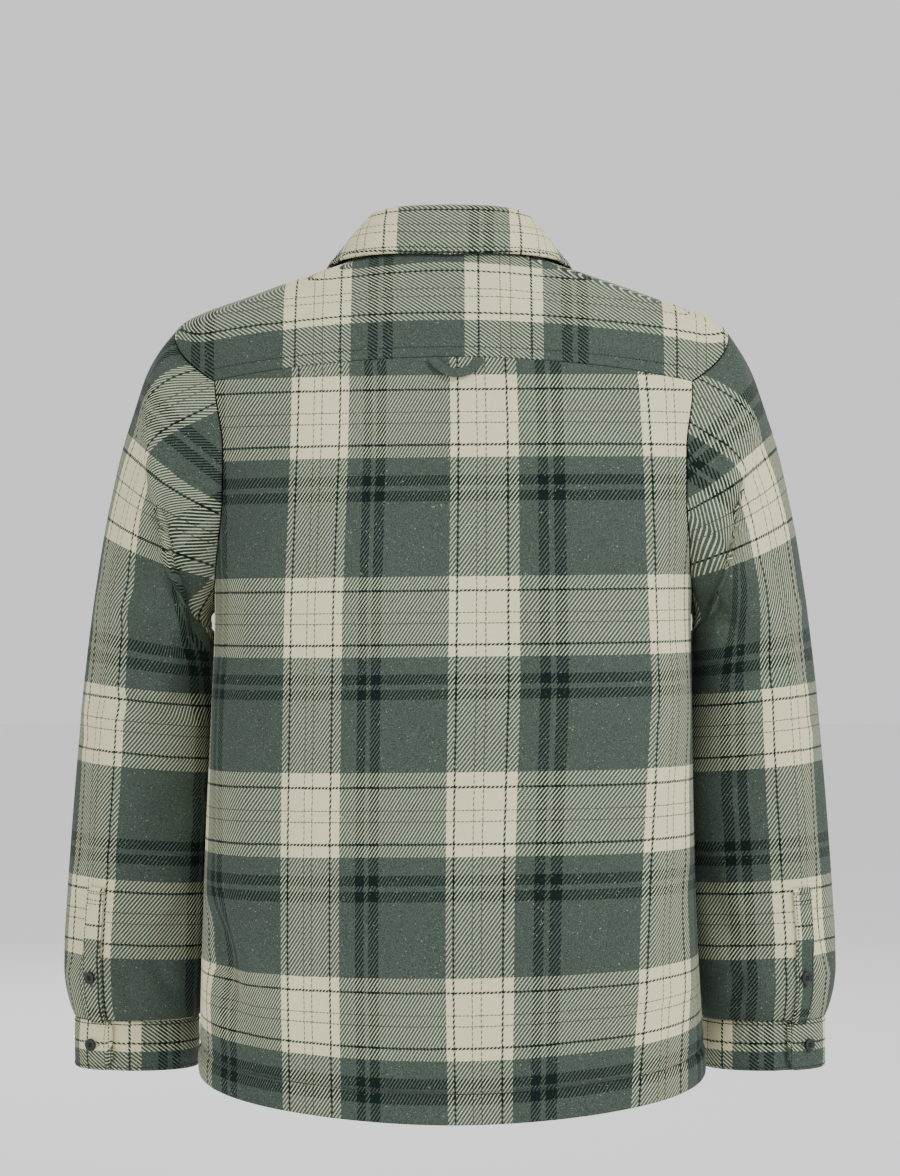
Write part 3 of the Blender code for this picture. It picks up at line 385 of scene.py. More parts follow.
def through(places, values, at):
    """A smooth curve through values (numbers or points) at places, read at each of at."""
    places = np.asarray(places, float)
    values = np.asarray(values, float)
    at = np.asarray(at, float)
    slopes = np.gradient(values, places, axis=0)
    index = np.clip(np.searchsorted(places, at, side="right") - 1, 0, len(places) - 2)
    span = places[index + 1] - places[index]
    t = (at - places[index]) / span
    extra = (1,) * (values.ndim - 1)
    t = t.reshape(t.shape + extra)
    span = span.reshape(span.shape + extra)
    near = (2 * t ** 3 - 3 * t ** 2 + 1) * values[index]
    near = near + (t ** 3 - 2 * t ** 2 + t) * span * slopes[index]
    far = (3 * t ** 2 - 2 * t ** 3) * values[index + 1]
    far = far + (t ** 3 - t ** 2) * span * slopes[index + 1]
    return near + far


def column(table, name, at):
    """One named column of a table, read smoothly against the table's first column."""
    places = [row[0] for row in table]
    values = [getattr(row, name) for row in table]
    return through(places, values, at)


def ease(t):
    t = np.clip(t, 0.0, 1.0)
    return t * t * (3.0 - 2.0 * t)


def unit(vectors):
    return vectors / np.maximum(np.linalg.norm(vectors, axis=-1, keepdims=True), 1e-12)


def fold_depth(folds, points, facing):
    """How far folds push each point along its normal; facing is the normal's Y."""
    push = np.zeros(points.shape[:-1])
    for fold in folds:
        start = np.array((fold.x0, fold.z0))
        line = np.array((fold.x1, fold.z1)) - start
        place = points[..., (0, 2)] - start
        along = np.clip((place @ line) / (line @ line), 0.0, 1.0)
        away = np.linalg.norm(place - along[..., None] * line, axis=-1) / fold.width
        swell = FOLD_END_DEPTH + (1.0 - FOLD_END_DEPTH) * np.sin(math.pi * along)
        # cloth gathers a little beside each trough
        shape = np.exp(-away ** 2) - BANK_SHARE * np.exp(-((away - BANK_AWAY) / BANK_WIDTH) ** 2)
        push = push + fold.depth * swell * shape * ease(facing * fold.side * FOLD_FACING)
    return push


def body_form(angle, climb):
    """The body's outer face with no folds: angle 0 is the left side, 90 the centre back."""
    angle, climb = np.broadcast_arrays(np.asarray(angle, float), np.asarray(climb, float))
    turn = np.radians(angle)
    across = np.cos(turn)
    deep = np.sin(turn)
    behind = deep >= 0.0
    size = {name: column(BODY_RINGS, name, climb) for name in Ring._fields[1:]}
    power = np.where(behind, size["squareness"], FRONT_SQUARENESS)
    reach = (np.abs(across) ** power + np.abs(deep) ** power) ** (-1.0 / power)
    y = np.where(behind, size["back_depth"], size["front_depth"]) * reach * deep
    forward = np.clip(-y / size["front_depth"], 0.0, 1.0)
    narrow = 1.0 - FRONT_NARROWING * forward ** FRONT_NARROWING_POWER
    x = size["half_width"] * reach * across * narrow + size["shift"]
    end = np.where(behind, size["back_height"], size["front_height"])
    z = end + (size["side_height"] - end) * across * across
    return np.stack((x, y, z), axis=-1)


def normals_of(form, u, v):
    """Unit normals of a form(u, v) by small steps either way."""
    run_u = form(u + ANGLE_STEP, v) - form(u - ANGLE_STEP, v)
    run_v = form(u, v + CLIMB_STEP) - form(u, v - CLIMB_STEP)
    return unit(np.cross(run_u, run_v))


def body(angle, climb):
    """The body's outer face with its folds, the puffed hem band and the groove over it."""
    angle = np.asarray(angle, float)
    climb = np.asarray(climb, float)
    smooth_face = body_form(angle, climb)
    normal = normals_of(body_form, angle, climb)
    push = fold_depth(BODY_FOLDS + BODY_CREASES, smooth_face, normal[..., 1])
    push = push + HEM_PUFF * np.sin(math.pi * np.clip(climb / HEM_BAND, 0.0, 1.0))
    push = push - HEM_GROOVE * np.exp(-((climb - HEM_BAND) / HEM_GROOVE_WIDTH) ** 2)
    return smooth_face + normal * push[..., None]


def body_normals(angle, climb):
    angle, climb = np.broadcast_arrays(np.asarray(angle, float), np.asarray(climb, float))
    return normals_of(body, angle, climb)


def face_of_body(angles, climbs):
    """The body's face and its normals over angles and climbs that spread to one grid."""
    angles, climbs = np.broadcast_arrays(angles, climbs)
    return body(angles, climbs), body_normals(angles, climbs)


def to_side(angle, side):
    """The same angle on the wearer's left (side 1) or right (side -1)."""
    return angle if side > 0 else 180.0 - angle


def sleeve_turns(loop):
    """The turn round the sleeve of each armhole point: 180 at the armpit, 0 at the shoulder."""
    closed = np.concatenate((loop, loop[:1]))
    length = np.concatenate(((0.0,), np.cumsum(np.linalg.norm(np.diff(closed, axis=0), axis=1))))
    top = int(np.argmax(loop[:, 2]))
    back = 180.0 * (1.0 - length / length[top])
    front = -180.0 * (length - length[top]) / (length[-1] - length[top])
    return np.where(np.arange(len(length)) <= top, back, front)[:-1]


def section_ring(section, turns, side):
    """One sleeve section as a ring of points."""
    outer = np.array((section.outer_x, section.middle_y, section.outer_z))
    inner = np.array((section.inner_x, section.middle_y, section.inner_z))
    middle = (outer + inner) / 2
    half = (outer - inner) / 2
    across = np.cos(np.radians(turns))
    deep = np.sin(np.radians(turns))
    power = section.squareness
    reach = ((np.abs(across) ** power + np.abs(deep) ** power) ** (-1.0 / power))[:, None]
    ring = middle + half * across[:, None] * reach
    ring = ring + np.array((0.0, section.depth / 2, 0.0)) * deep[:, None] * reach
    ring[:, 0] *= side
    return ring


def placket_half_angle(climbs):
    across = column(BODY_RINGS, "half_width", climbs) * (1.0 - FRONT_NARROWING)
    return np.degrees(np.arcsin(PLACKET_WIDTH / 2 / across))


def cuff_ring(turns, side):
    """Points round the cuff's outer face and the level way out from it."""
    end = SLEEVE_SECTIONS[-1]
    ring = section_ring(end, turns, side)
    middle = np.array((side * (end.outer_x + end.inner_x) / 2, end.middle_y, end.outer_z))
    return ring, unit(ring - middle)


def between_columns(grid, place):
    """Grid points at a fractional column, row by row."""
    columns = grid.shape[1]
    low = int(math.floor(place)) % columns
    part = place - math.floor(place)
    return grid[:, low] * (1.0 - part) + grid[:, (low + 1) % columns] * part


def roll_column(name, angle):
    """A column of the roll's table at any angle; the right side and the laps mirror the left."""
    mirrored = np.where(angle > 90.0, 180.0 - angle, angle)
    mirrored = np.where(mirrored < CENTRE_FRONT, 2.0 * CENTRE_FRONT - mirrored, mirrored)
    return column(COLLAR_ROLL, name, mirrored)


def roll_middle(angle):
    """The middle of the collar's roll, and the level way out from the neck there."""
    turn = np.radians(angle)
    out = np.stack((np.cos(turn), np.sin(turn), np.zeros_like(turn)), axis=-1)
    x = roll_column("half_width", angle) * np.cos(turn)
    y = roll_column("depth", angle) * np.sin(turn)
    z = roll_column("height", angle) - ROLL_HEIGHT
    return np.stack((x, y, z), axis=-1), out


def collar_line(angle, step):
    """One line round the collar, from inside at the stand, over the roll, to the leaf's edge."""
    middle, out = roll_middle(angle)
    if step < ROLL_START:
        return middle - out * ROLL_RADIUS - UP * ROLL_DROP * (1.0 - step / ROLL_START)
    if step < ROLL_END:
        swing = math.pi * (step - ROLL_START) / (ROLL_END - ROLL_START)
        return middle - out * ROLL_RADIUS * math.cos(swing) + UP * ROLL_HEIGHT * math.sin(swing)
    down = (step - ROLL_END) / (1.0 - ROLL_END)
    brow = middle + out * ROLL_RADIUS
    leaf = roll_column("leaf_climb", angle)
    edge = body(angle, leaf) + body_normals(angle, leaf) * (COLLAR_WALL + COLLAR_REST)
    return brow + (edge - brow) * down + out * COLLAR_BULGE * math.sin(math.pi * down)


def on_back(x, below, lift):
    """A point this far below the yoke seam, lifted off the back's face."""
    climb = YOKE_SEAM - below / BACK_RISE
    angle = np.degrees(np.arccos(np.clip(x / column(BODY_RINGS, "half_width", climb), -1.0, 1.0)))
    return body(angle, climb) + body_normals(angle, climb) * lift[..., None]


# Cloth shells: two faces over a grid of points, their edges rounded
RIM = (0.0, 0.00012, 0.0004, 0.0008, 0.0014)
WARP_REPEAT = 0.163
WEFT_REPEAT = 0.1648


def fine_steps(start, stop, count, length):
    """Even steps from start to stop with a few close ones at both ends, for the rounded edges."""
    share = np.linspace(0.0, 1.0, count)
    rim = np.array(RIM) / length
    near = rim[rim < share[1]]
    share = np.unique(np.concatenate((near, share, 1.0 - near)))
    return start + (stop - start) * share


def run_lengths(points, axis):
    """Distance from a grid's first row (axis 0) or first column (axis 1) along the cloth."""
    steps = np.linalg.norm(np.diff(points, axis=axis), axis=-1)
    zero = np.zeros_like(np.take(steps, (0,), axis=axis))
    return np.concatenate((zero, np.cumsum(steps, axis=axis)), axis=axis)


def edge_distance(points, tube):
    """How far each grid point is from the nearest edge of the cloth."""
    down = run_lengths(points, 0)
    nearest = np.minimum(down, down[-1:] - down)
    if not tube:
        across = run_lengths(points, 1)
        nearest = np.minimum(nearest, np.minimum(across, across[:, -1:] - across))
    return nearest


def shell(name, outer, ways, grain, thickness, finish, tube=False):
    """A closed thin shell; grain is the warp and weft place of each point, in metres of cloth."""
    rows, columns = outer.shape[:2]
    half = thickness / 2
    inside = np.clip(1.0 - edge_distance(outer, tube) / half, 0.0, 1.0)
    rounding = (1.0 - np.sqrt(1.0 - np.minimum(inside, 0.995) ** 2)) * half
    top = outer - ways * rounding[..., None]
    under = outer - ways * (thickness - rounding)[..., None]
    if tube:
        top = np.concatenate((top, top[:, :1]), axis=1)
        under = np.concatenate((under, under[:, :1]), axis=1)
        columns += 1
    index = np.arange(rows * columns).reshape(rows, columns)
    quads = np.stack((index[:-1, :-1], index[:-1, 1:], index[1:, 1:], index[1:, :-1]), axis=-1)
    quads = quads.reshape(-1, 4)
    below = rows * columns
    faces = [quads, quads[:, ::-1] + below]
    first, last = index[0], index[-1]
    faces.append(np.stack((first[:-1], first[:-1] + below, first[1:] + below, first[1:]), axis=-1))
    faces.append(np.stack((last[:-1], last[1:], last[1:] + below, last[:-1] + below), axis=-1))
    if not tube:
        near, far = index[:, 0], index[:, -1]
        faces.append(np.stack((near[:-1], near[1:], near[1:] + below, near[:-1] + below), axis=-1))
        faces.append(np.stack((far[:-1], far[:-1] + below, far[1:] + below, far[1:]), axis=-1))
    faces = np.concatenate(faces)
    points = np.concatenate((top.reshape(-1, 3), under.reshape(-1, 3)))
    grains = np.concatenate((grain.reshape(-1, 2), grain.reshape(-1, 2)))
    if looks_inward(points, quads, ways, tube):
        faces = faces[:, ::-1]
    mesh = bpy.data.meshes.new(name)
    mesh.from_pydata(points.tolist(), [], faces.tolist())
    mesh.materials.append(finish)
    mesh.shade_smooth()
    layer = mesh.uv_layers.new(name="cloth")
    corners = np.empty(len(mesh.loops), dtype=np.int32)
    mesh.loops.foreach_get("vertex_index", corners)
    layer.data.foreach_set("uv", grains[corners].ravel())
    thing = bpy.data.objects.new(name, mesh)
    bpy.context.scene.collection.objects.link(thing)
    if tube:
        weld_seam(mesh)
    return thing


def looks_inward(points, quads, ways, tube):
    """Whether the middle face turns its back on the cloth's way out."""
    middle = len(quads) // 2
    a, b, c, d = points[quads[middle]]
    row, col = divmod(middle, ways.shape[1] if tube else ways.shape[1] - 1)
    return float(np.cross(c - a, d - b) @ ways[row, col]) < 0.0


def weld_seam(mesh):
    """Joins a tube's first and last columns; each face corner keeps its own grain."""
    shape = bmesh.new()
    shape.from_mesh(mesh)
    bmesh.ops.remove_doubles(shape, verts=shape.verts, dist=1e-7)
    shape.to_mesh(mesh)
    shape.free()


def wear(thing, node):
    """Attaches a cloth piece to the root body and hides the part that it replaces."""
    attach(thing, "root")
    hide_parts(node)


# Where the plaid's lines lie, measured across each panel
SpreadRate = namedtuple("SpreadRate", "x rate")
BACK_SPREAD = (
    SpreadRate(-0.200, 0.85), SpreadRate(-0.165, 0.95), SpreadRate(-0.120, 0.99),
    SpreadRate(-0.050, 0.99), SpreadRate(-0.004, 1.02), SpreadRate(0.004, 1.20),
    SpreadRate(0.135, 1.21), SpreadRate(0.150, 1.10), SpreadRate(0.200, 1.02),
)
CENTRE_BACK_WARP = 0.167
BackBand = namedtuple("BackBand", "z weft")
BACK_WEFT = (
    BackBand(-0.760, 0.6470), BackBand(-0.6081, 0.4944), BackBand(-0.4401, 0.3296),
    BackBand(-0.2804, 0.1648), BackBand(-0.1144, 0.0), BackBand(0.05, -0.1648),
)
GRAIN_TILT = 0.010
HEM_FOLLOW_CLIMB = 0.26
RightDrift = namedtuple("RightDrift", "z shift")
RIGHT_DRIFT = (
    RightDrift(-0.760, 0.018), RightDrift(-0.690, 0.013), RightDrift(-0.625, 0.006),
    RightDrift(-0.500, 0.001), RightDrift(-0.372, -0.004), RightDrift(-0.275, 0.001),
    RightDrift(-0.110, 0.008), RightDrift(0.0, 0.010),
)
RIGHT_DRIFT_REACH = 0.16
RIGHT_DRIFT_MOST = 1.2
LEFT_DRIFT_TOP = -0.006
LEFT_DRIFT_REACH = 0.09
LEFT_DRIFT_LOW = -0.024
LEFT_LOW_X = 0.135
LEFT_LOW_WIDTH = 0.05
LEFT_LOW_Z = -0.52
LEFT_LOW_FADE = 0.10
LEVEL_WITHIN = 0.17
YOKE_WARP_AT_SEAM = -0.0336
YokePlace = namedtuple("YokePlace", "x weft")
YOKE_WEFT = (
    YokePlace(-0.2480, 0.4040), YokePlace(-0.1783, 0.3296), YokePlace(-0.0774, 0.2325),
    YokePlace(-0.0120, 0.1648), YokePlace(0.0824, 0.0677), YokePlace(0.1387, 0.0),
    YokePlace(0.2080, -0.0720), YokePlace(0.2500, -0.1150),
)
SleeveSlope = namedtuple("SleeveSlope", "z slope")
SLEEVE_SLOPE = (
    SleeveSlope(-0.72, 0.03), SleeveSlope(-0.55, 0.05), SleeveSlope(-0.38, 0.10),
    SleeveSlope(-0.30, 0.30), SleeveSlope(-0.20, 0.68), SleeveSlope(-0.08, 0.75),
)
SleeveBand = namedtuple("SleeveBand", "z weft")
SLEEVE_WEFT = (
    SleeveBand(-0.720, -0.2800), SleeveBand(-0.537, -0.0971), SleeveBand(-0.3704, 0.0677),
    SleeveBand(-0.157, 0.2325), SleeveBand(-0.020, 0.3450),
)


def read_table(table, value_name, at):
    """Straight-line reading of a small table whose first column rises."""
    places = [row[0] for row in table]
    values = [getattr(row, value_name) for row in table]
    return np.interp(at, places, values)


def body_weft(points, climb, centre_height):
    """Weft place on the back and fronts: level, then bending to follow the hem."""
    follow = ease(1.0 - climb / HEM_FOLLOW_CLIMB)
    height = points[..., 2] + (centre_height - points[..., 2]) * follow
    return read_table(BACK_WEFT, "weft", height + GRAIN_TILT * points[..., 0])


def spread_from_centre(points, rates, centre):
    """Adds up the cloth along each row, outward from the centre column, towards -X."""
    steps = np.linalg.norm(np.diff(points, axis=1), axis=-1)
    middle_x = (points[:, 1:, 0] + points[:, :-1, 0]) / 2
    level = np.abs(np.diff(points[..., 0], axis=1))
    share = np.where(np.abs(middle_x) < LEVEL_WITHIN, level, steps) * read_table(rates, "rate", middle_x)
    way = np.sign(points[:, :1, 0] - points[:, -1:, 0])
    run = np.concatenate((np.zeros((len(points), 1)), np.cumsum(share * way, axis=1)), axis=1)
    return run - run[:, centre:centre + 1]


def back_angles(climbs, share):
    edge = np.where(climbs <= ARMPIT, 0.0, column(BACK_ARM_EDGE, "angle", climbs))
    return edge + (180.0 - 2.0 * edge) * share


def front_edge(climbs):
    edge = column(FRONT_ARM_EDGE, "angle", np.minimum(climbs, FRONT_SEAM_CLIMB))
    return np.where(climbs <= ARMPIT, 0.0, edge)


def make_back(finish):
    rims = fine_steps(0.0, YOKE_SEAM, 3, BACK_LENGTH)
    lower = np.linspace(0.0, ARMPIT, 122)
    upper = np.linspace(ARMPIT, YOKE_SEAM, 62)[1:]
    climbs = np.unique(np.concatenate((rims, lower, upper, HEM_ROWS)))[:, None]
    share = fine_steps(0.0, 1.0, 161, BACK_WIDTH)
    points, ways = face_of_body(back_angles(climbs, share), climbs)
    centre = int(np.argmin(np.abs(share - 0.5)))
    x = points[..., 0]
    z = points[..., 2]
    warp = CENTRE_BACK_WARP + spread_from_centre(points, BACK_SPREAD, centre)
    # the lines drift sideways towards both edges, most of all low on the left
    warp = warp + read_table(RIGHT_DRIFT, "shift", z) * np.clip(-x / RIGHT_DRIFT_REACH, 0.0, RIGHT_DRIFT_MOST)
    left = np.clip(x / LEFT_DRIFT_REACH, 0.0, 1.0) * np.clip(z / 0.2 + 1.55, 0.0, 1.0)
    warp = warp + LEFT_DRIFT_TOP * left
    low_left = ease((x - LEFT_LOW_X) / LEFT_LOW_WIDTH) * ease((LEFT_LOW_Z - z) / LEFT_LOW_FADE)
    warp = warp + LEFT_DRIFT_LOW * low_left
    weft = body_weft(points, climbs, points[:, centre:centre + 1, 2])
    return panel("back_panel", points, ways, warp, weft, finish)


def settle_seam(points, gap):
    """Draws the outer rows and columns in by a hair so that neighbours never touch."""
    moved = points.copy()
    moved[0] += unit(points[1] - points[0]) * gap
    moved[-1] += unit(points[-2] - points[-1]) * gap
    moved[:, 0] += unit(points[:, 1] - points[:, 0]) * gap
    moved[:, -1] += unit(points[:, -2] - points[:, -1]) * gap
    return moved


def panel(name, points, ways, warp, weft, finish, draw=SEAM_DRAW):
    """A cloth shell drawn in at its seams, with its warp and weft places."""
    grain = np.stack((warp, weft), axis=-1)
    return shell(name, settle_seam(points, draw), ways, grain, WALL, finish)


def make_front(name, left, finish):
    climbs = np.unique(np.concatenate((
        fine_steps(0.0, 1.0, 3, FRONT_LENGTH), np.linspace(0.0, ARMPIT, 112),
        np.linspace(ARMPIT, 1.0, 74), HEM_ROWS)))[:, None]
    half = placket_half_angle(climbs)
    edge = front_edge(climbs)
    if left:
        start = CENTRE_FRONT + half
        end = edge
    else:
        start = 180.0 - edge
        end = 180.0 - CENTRE_FRONT + half * RIGHT_LAP_SHARE
    angles = start + (end - start) * fine_steps(0.0, 1.0, 62, FRONT_CUT_WIDTH)
    points, ways = face_of_body(angles, climbs)
    if not left:
        ramp = half * LAP_RAMP / (PLACKET_WIDTH / 2)
        lap_start = 180.0 - CENTRE_FRONT - half
        sink = (WALL + GAP) * ease((angles - (lap_start - ramp)) / ramp)
        points = points - ways * sink[..., None]
    run = run_lengths(points, 1)
    warp = PLACKET_WARP + run if left else PLACKET_WARP - (run[:, -1:] - run)
    centre_line = points[:, :1, 2] if left else points[:, -1:, 2]
    return panel(name, points, ways, warp, body_weft(points, climbs, centre_line), finish)


def make_placket(finish):
    climbs = fine_steps(0.0, 1.0, 150, FRONT_LENGTH)[:, None]
    share = fine_steps(-1.0, 1.0, 9, PLACKET_WIDTH)
    points, ways = face_of_body(CENTRE_FRONT + placket_half_angle(climbs) * share, climbs)
    warp = PLACKET_WARP + run_lengths(points, 1) - PLACKET_WIDTH / 2
    weft = body_weft(points, climbs, points[:, :1, 2])
    return panel("front_placket_cloth", points, ways, warp, weft, finish, PLACKET_DRAW)


def make_yoke(finish):
    corner = YOKE_CORNER_ANGLE
    over_back = np.linspace(corner, 180.0 - corner, 131)
    over_left = fine_steps(FRONT_SEAM_ANGLE, corner, 31, 0.21)
    angles = np.unique(np.concatenate((over_left, over_back, 180.0 - over_left)))
    mirrored = np.where(angles > 90.0, 180.0 - angles, angles)
    start = np.where(mirrored >= corner - 1e-9, YOKE_SEAM, column(SHOULDER_EDGE, "climb", mirrored))
    start[0] = FRONT_SEAM_CLIMB
    start[-1] = FRONT_SEAM_CLIMB
    steps = fine_steps(0.0, 1.0, 35, 0.13)
    grid = start[None, :] + (1.0 - start)[None, :] * steps[:, None]
    points, ways = face_of_body(angles, grid)
    weft = read_table(YOKE_WEFT, "weft", points[..., 0])
    up_slice = unit(np.cross(np.array((1.0, 0.0, 0.0)), ways))
    along = np.sum(np.diff(points[0], axis=0) * (up_slice[0, 1:] + up_slice[0, :-1]) / 2, axis=-1)
    on_seam = (mirrored[1:] > corner) | (mirrored[:-1] > corner)
    along = np.where(on_seam, 0.0, along)
    base = np.concatenate(((0.0,), np.cumsum(along)))
    base = base - base[len(base) // 2]
    rise = np.sum(np.diff(points, axis=0) * (up_slice[1:] + up_slice[:-1]) / 2, axis=-1)
    rise = np.concatenate((np.zeros((1, points.shape[1])), np.cumsum(rise, axis=0)), axis=0)
    warp = YOKE_WARP_AT_SEAM + base[None, :] + rise
    return panel("yoke_panel", points, ways, warp, weft, finish)


def armhole_line(back_count, over_count, front_count):
    """Angle and climb round the left armhole: up the back, over the shoulder, down the front."""
    up = np.linspace(ARMPIT, YOKE_SEAM, back_count + 1)
    over = np.linspace(YOKE_CORNER_ANGLE, FRONT_SEAM_ANGLE, over_count + 1)[1:]
    down = np.linspace(FRONT_SEAM_CLIMB, ARMPIT, front_count + 1)[1:-1]
    back = np.where(up <= ARMPIT, 0.0, column(BACK_ARM_EDGE, "angle", up))
    angles = np.concatenate((back, over, front_edge(down)))
    climbs = np.concatenate((up, column(SHOULDER_EDGE, "climb", over), down))
    climbs[back_count] = YOKE_SEAM
    climbs[back_count + over_count] = FRONT_SEAM_CLIMB
    return angles, climbs


def tube_ways(grid, side):
    around = np.roll(grid, -1, axis=1) - np.roll(grid, 1, axis=1)
    along = np.gradient(grid, axis=0)
    return unit(np.cross(around, along)) * side


def sleeve_surface(arm, runs):
    """Sleeve points, the way out, and the turn of each column; row 0 lies on the armhole."""
    angles, climbs = armhole_line(50, 34, 50)
    loop = body(to_side(angles, arm.side), climbs)
    turns = sleeve_turns(loop)
    rings = [loop] + [section_ring(section, turns, arm.side) for section in SLEEVE_SECTIONS]
    places = [0.0] + [section.run for section in SLEEVE_SECTIONS]
    points = through(places, rings, runs)
    ways = tube_ways(points, arm.side)
    flat = points * np.array((arm.side, 1.0, 1.0))
    push = fold_depth(arm.folds, flat, ways[..., 1]) * ease(runs / FOLDS_FADE_IN)[:, None]
    points = points + ways * (push * ease((1.0 - runs) / FOLDS_FADE_OUT)[:, None])[..., None]
    under_arm = np.exp(-((points[..., 2] - arm.swell_height) / arm.swell_reach) ** 2)
    inner = ease((np.cos(np.radians(turns - 180.0)) - SWELL_FROM) / (1.0 - SWELL_FROM))
    points[..., 0] -= arm.side * arm.swell * under_arm * inner * ease(runs / SWELL_FADE_IN)[:, None]
    return points, tube_ways(points, arm.side), turns


def sleeve_grain(arm, points, turns):
    """Warp round the sleeve from one known line, weft down it on a slope that eases below."""
    closed = np.concatenate((points, points[:, :1]), axis=1)
    height = closed[..., 2]
    run = run_lengths(closed, 1)
    line = int(np.argmin(np.abs(turns - arm.line_turn)))
    around = run - run[:, line:line + 1]
    # above the elbow the cloth is fuller on the inner side, so its lines lie further apart there
    high = ease((height + SLEEVE_FULL_BELOW) / SLEEVE_FULL_FADE)
    around = around + SLEEVE_FULLNESS * high * np.maximum(-around - SLEEVE_FULL_START, 0.0)
    warp = arm.warp + arm.side * around
    order = sorted(SLEEVE_SECTIONS, key=lambda section: section.outer_z)
    outermost = np.interp(height, [row.outer_z for row in order], [row.outer_x for row in order])
    slope = read_table(SLEEVE_SLOPE, "slope", height)
    level = height + slope * (outermost - np.abs(closed[..., 0]))
    weft = read_table(SLEEVE_WEFT, "weft", level)
    return np.stack((warp, weft), axis=-1)


def make_sleeve(arm, finish):
    runs = np.unique(np.concatenate((fine_steps(0.0, 1.0, 3, 0.60), np.linspace(0.0, 1.0, 151))))
    points, ways, turns = sleeve_surface(arm, runs)
    grain = sleeve_grain(arm, points, turns)
    step = unit(points[2] - points[0]) * SLEEVE_HEAD_GAP
    moved = points + step[None] * ease(1.0 - runs / SLEEVE_HEAD_FADE)[:, None, None]
    thing = shell("sleeve_cloth_" + arm.label, moved, ways, grain, WALL, finish, tube=True)
    return thing, points, ways, turns


def make_cuff(arm, finish):
    """A band round the wrist whose outer end laps over the inner one, its corners cut off."""
    turns = np.linspace(CUFF_END_ANGLE, CUFF_END_ANGLE - 360.0 - CUFF_LAP_ANGLE, 210)
    ring, out = cuff_ring(turns, arm.side)
    past = (CUFF_END_ANGLE - 360.0 + CUFF_UNDER_RAMP - turns) / CUFF_UNDER_RAMP
    ring = ring - out * ((WALL + GAP) * ease(past))[:, None]
    flare = ease((turns - CUFF_END_ANGLE + CUFF_FLARE_TURN) / CUFF_FLARE_TURN)
    ring = ring + out * (CUFF_FLARE * flare)[:, None]
    share = fine_steps(0.0, 1.0, 16, CUFF_HEIGHT)
    drop = GAP + share * (CUFF_HEIGHT - GAP)
    points = ring[None] - drop[:, None, None] * UP
    mitre = ease(1.0 - (CUFF_END_ANGLE - turns) / CUFF_MITRE_TURN)
    points[..., 2] -= CUFF_MITRE_TOP * (1.0 - share)[:, None] * mitre[None, :]
    points[..., 2] += CUFF_MITRE_BOTTOM * share[:, None] * mitre[None, :]
    ways = np.broadcast_to(out[None], points.shape)
    points = points + ways * (CUFF_SWELL * np.sin(math.pi * share))[:, None, None]
    across = run_lengths(points, 1)
    behind = (turns < CUFF_BACK_START) & (turns > CUFF_BACK_END)
    line = int(np.argmin(np.abs(np.abs(points[0, :, 0]) - arm.cuff_line) + ~behind))
    # the cuffs are cut across the cloth, so their rows follow the warp's lines
    weft = CUFF_WEFT - (across - across[:, line:line + 1]) * arm.side
    warp = np.broadcast_to((CUFF_WARP_TOP - drop)[:, None], weft.shape)
    grain = np.stack((warp, weft), axis=-1)
    points = settle_seam(points, SEAM_DRAW)
    return shell("cuff_cloth_" + arm.label, points, ways, grain, WALL, finish), points, ways


def make_sleeve_placket(arm, points, ways, turns, finish):
    """The strip over the sleeve's slit, made from the sleeve's own points, moved out."""
    middle = int(np.argmin(np.abs(turns - SLEEVE_PLACKET_ANGLE)))
    rows = np.where(points[:, middle, 2] < SLEEVE_PLACKET_TOP)[0]
    pitch = np.linalg.norm(points[rows[0], middle + 1] - points[rows[0], middle])
    half = SLEEVE_PLACKET_WIDTH / 2 / pitch
    places = fine_steps(middle - half, middle + half, 9, SLEEVE_PLACKET_WIDTH)
    face = np.stack([between_columns(points, place) for place in places], axis=1)[rows]
    out = unit(np.stack([between_columns(ways, place) for place in places], axis=1)[rows])
    outer = face + out * (STRIP_CLEAR + WALL)
    outer[-1, :, 2] += STRIP_END_RISE
    warp = STRIP_WARP + run_lengths(outer, 1) * arm.side
    grain = np.stack((warp, STRIP_WEFT - run_lengths(outer, 0)), axis=-1)
    thing = shell("sleeve_strip_" + arm.label, outer, out, grain, WALL, finish)
    centre = outer[:, len(places) // 2]
    order = np.argsort(centre[:, 2])
    spot = np.array([np.interp(SLEEVE_BUTTON_HEIGHT, centre[order, 2], centre[order, k])
                     for k in range(3)])
    way = out[0, len(places) // 2] * np.array((1.0, 1.0, 0.0))
    return thing, outer, out, spot, unit(way)


def make_stand(finish):
    half = STAND_LAP_ANGLE
    angle = np.linspace(CENTRE_FRONT - half, 180.0 - CENTRE_FRONT + half, 221)
    foot = body(angle, np.ones_like(angle)) + UP * GAP * 2
    middle, out = roll_middle(angle)
    brow = middle - out * (ROLL_RADIUS - WALL) - UP * (ROLL_DROP + GAP)
    sink = (WALL + GAP * 2) * ease((angle - (180.0 - CENTRE_FRONT - half)) / half + 1.0)
    shift = out * sink[:, None]
    steps = fine_steps(0.0, 1.0, 9, 0.03)[:, None, None]
    outer = foot[None] + (brow - foot)[None] * steps - shift[None]
    ways = np.broadcast_to(out[None], outer.shape)
    grain = np.stack((STAND_WARP + run_lengths(outer, 0), STAND_WEFT - run_lengths(outer, 1)), axis=-1)
    return shell("collar_stand_cloth", outer, ways, grain, WALL, finish)


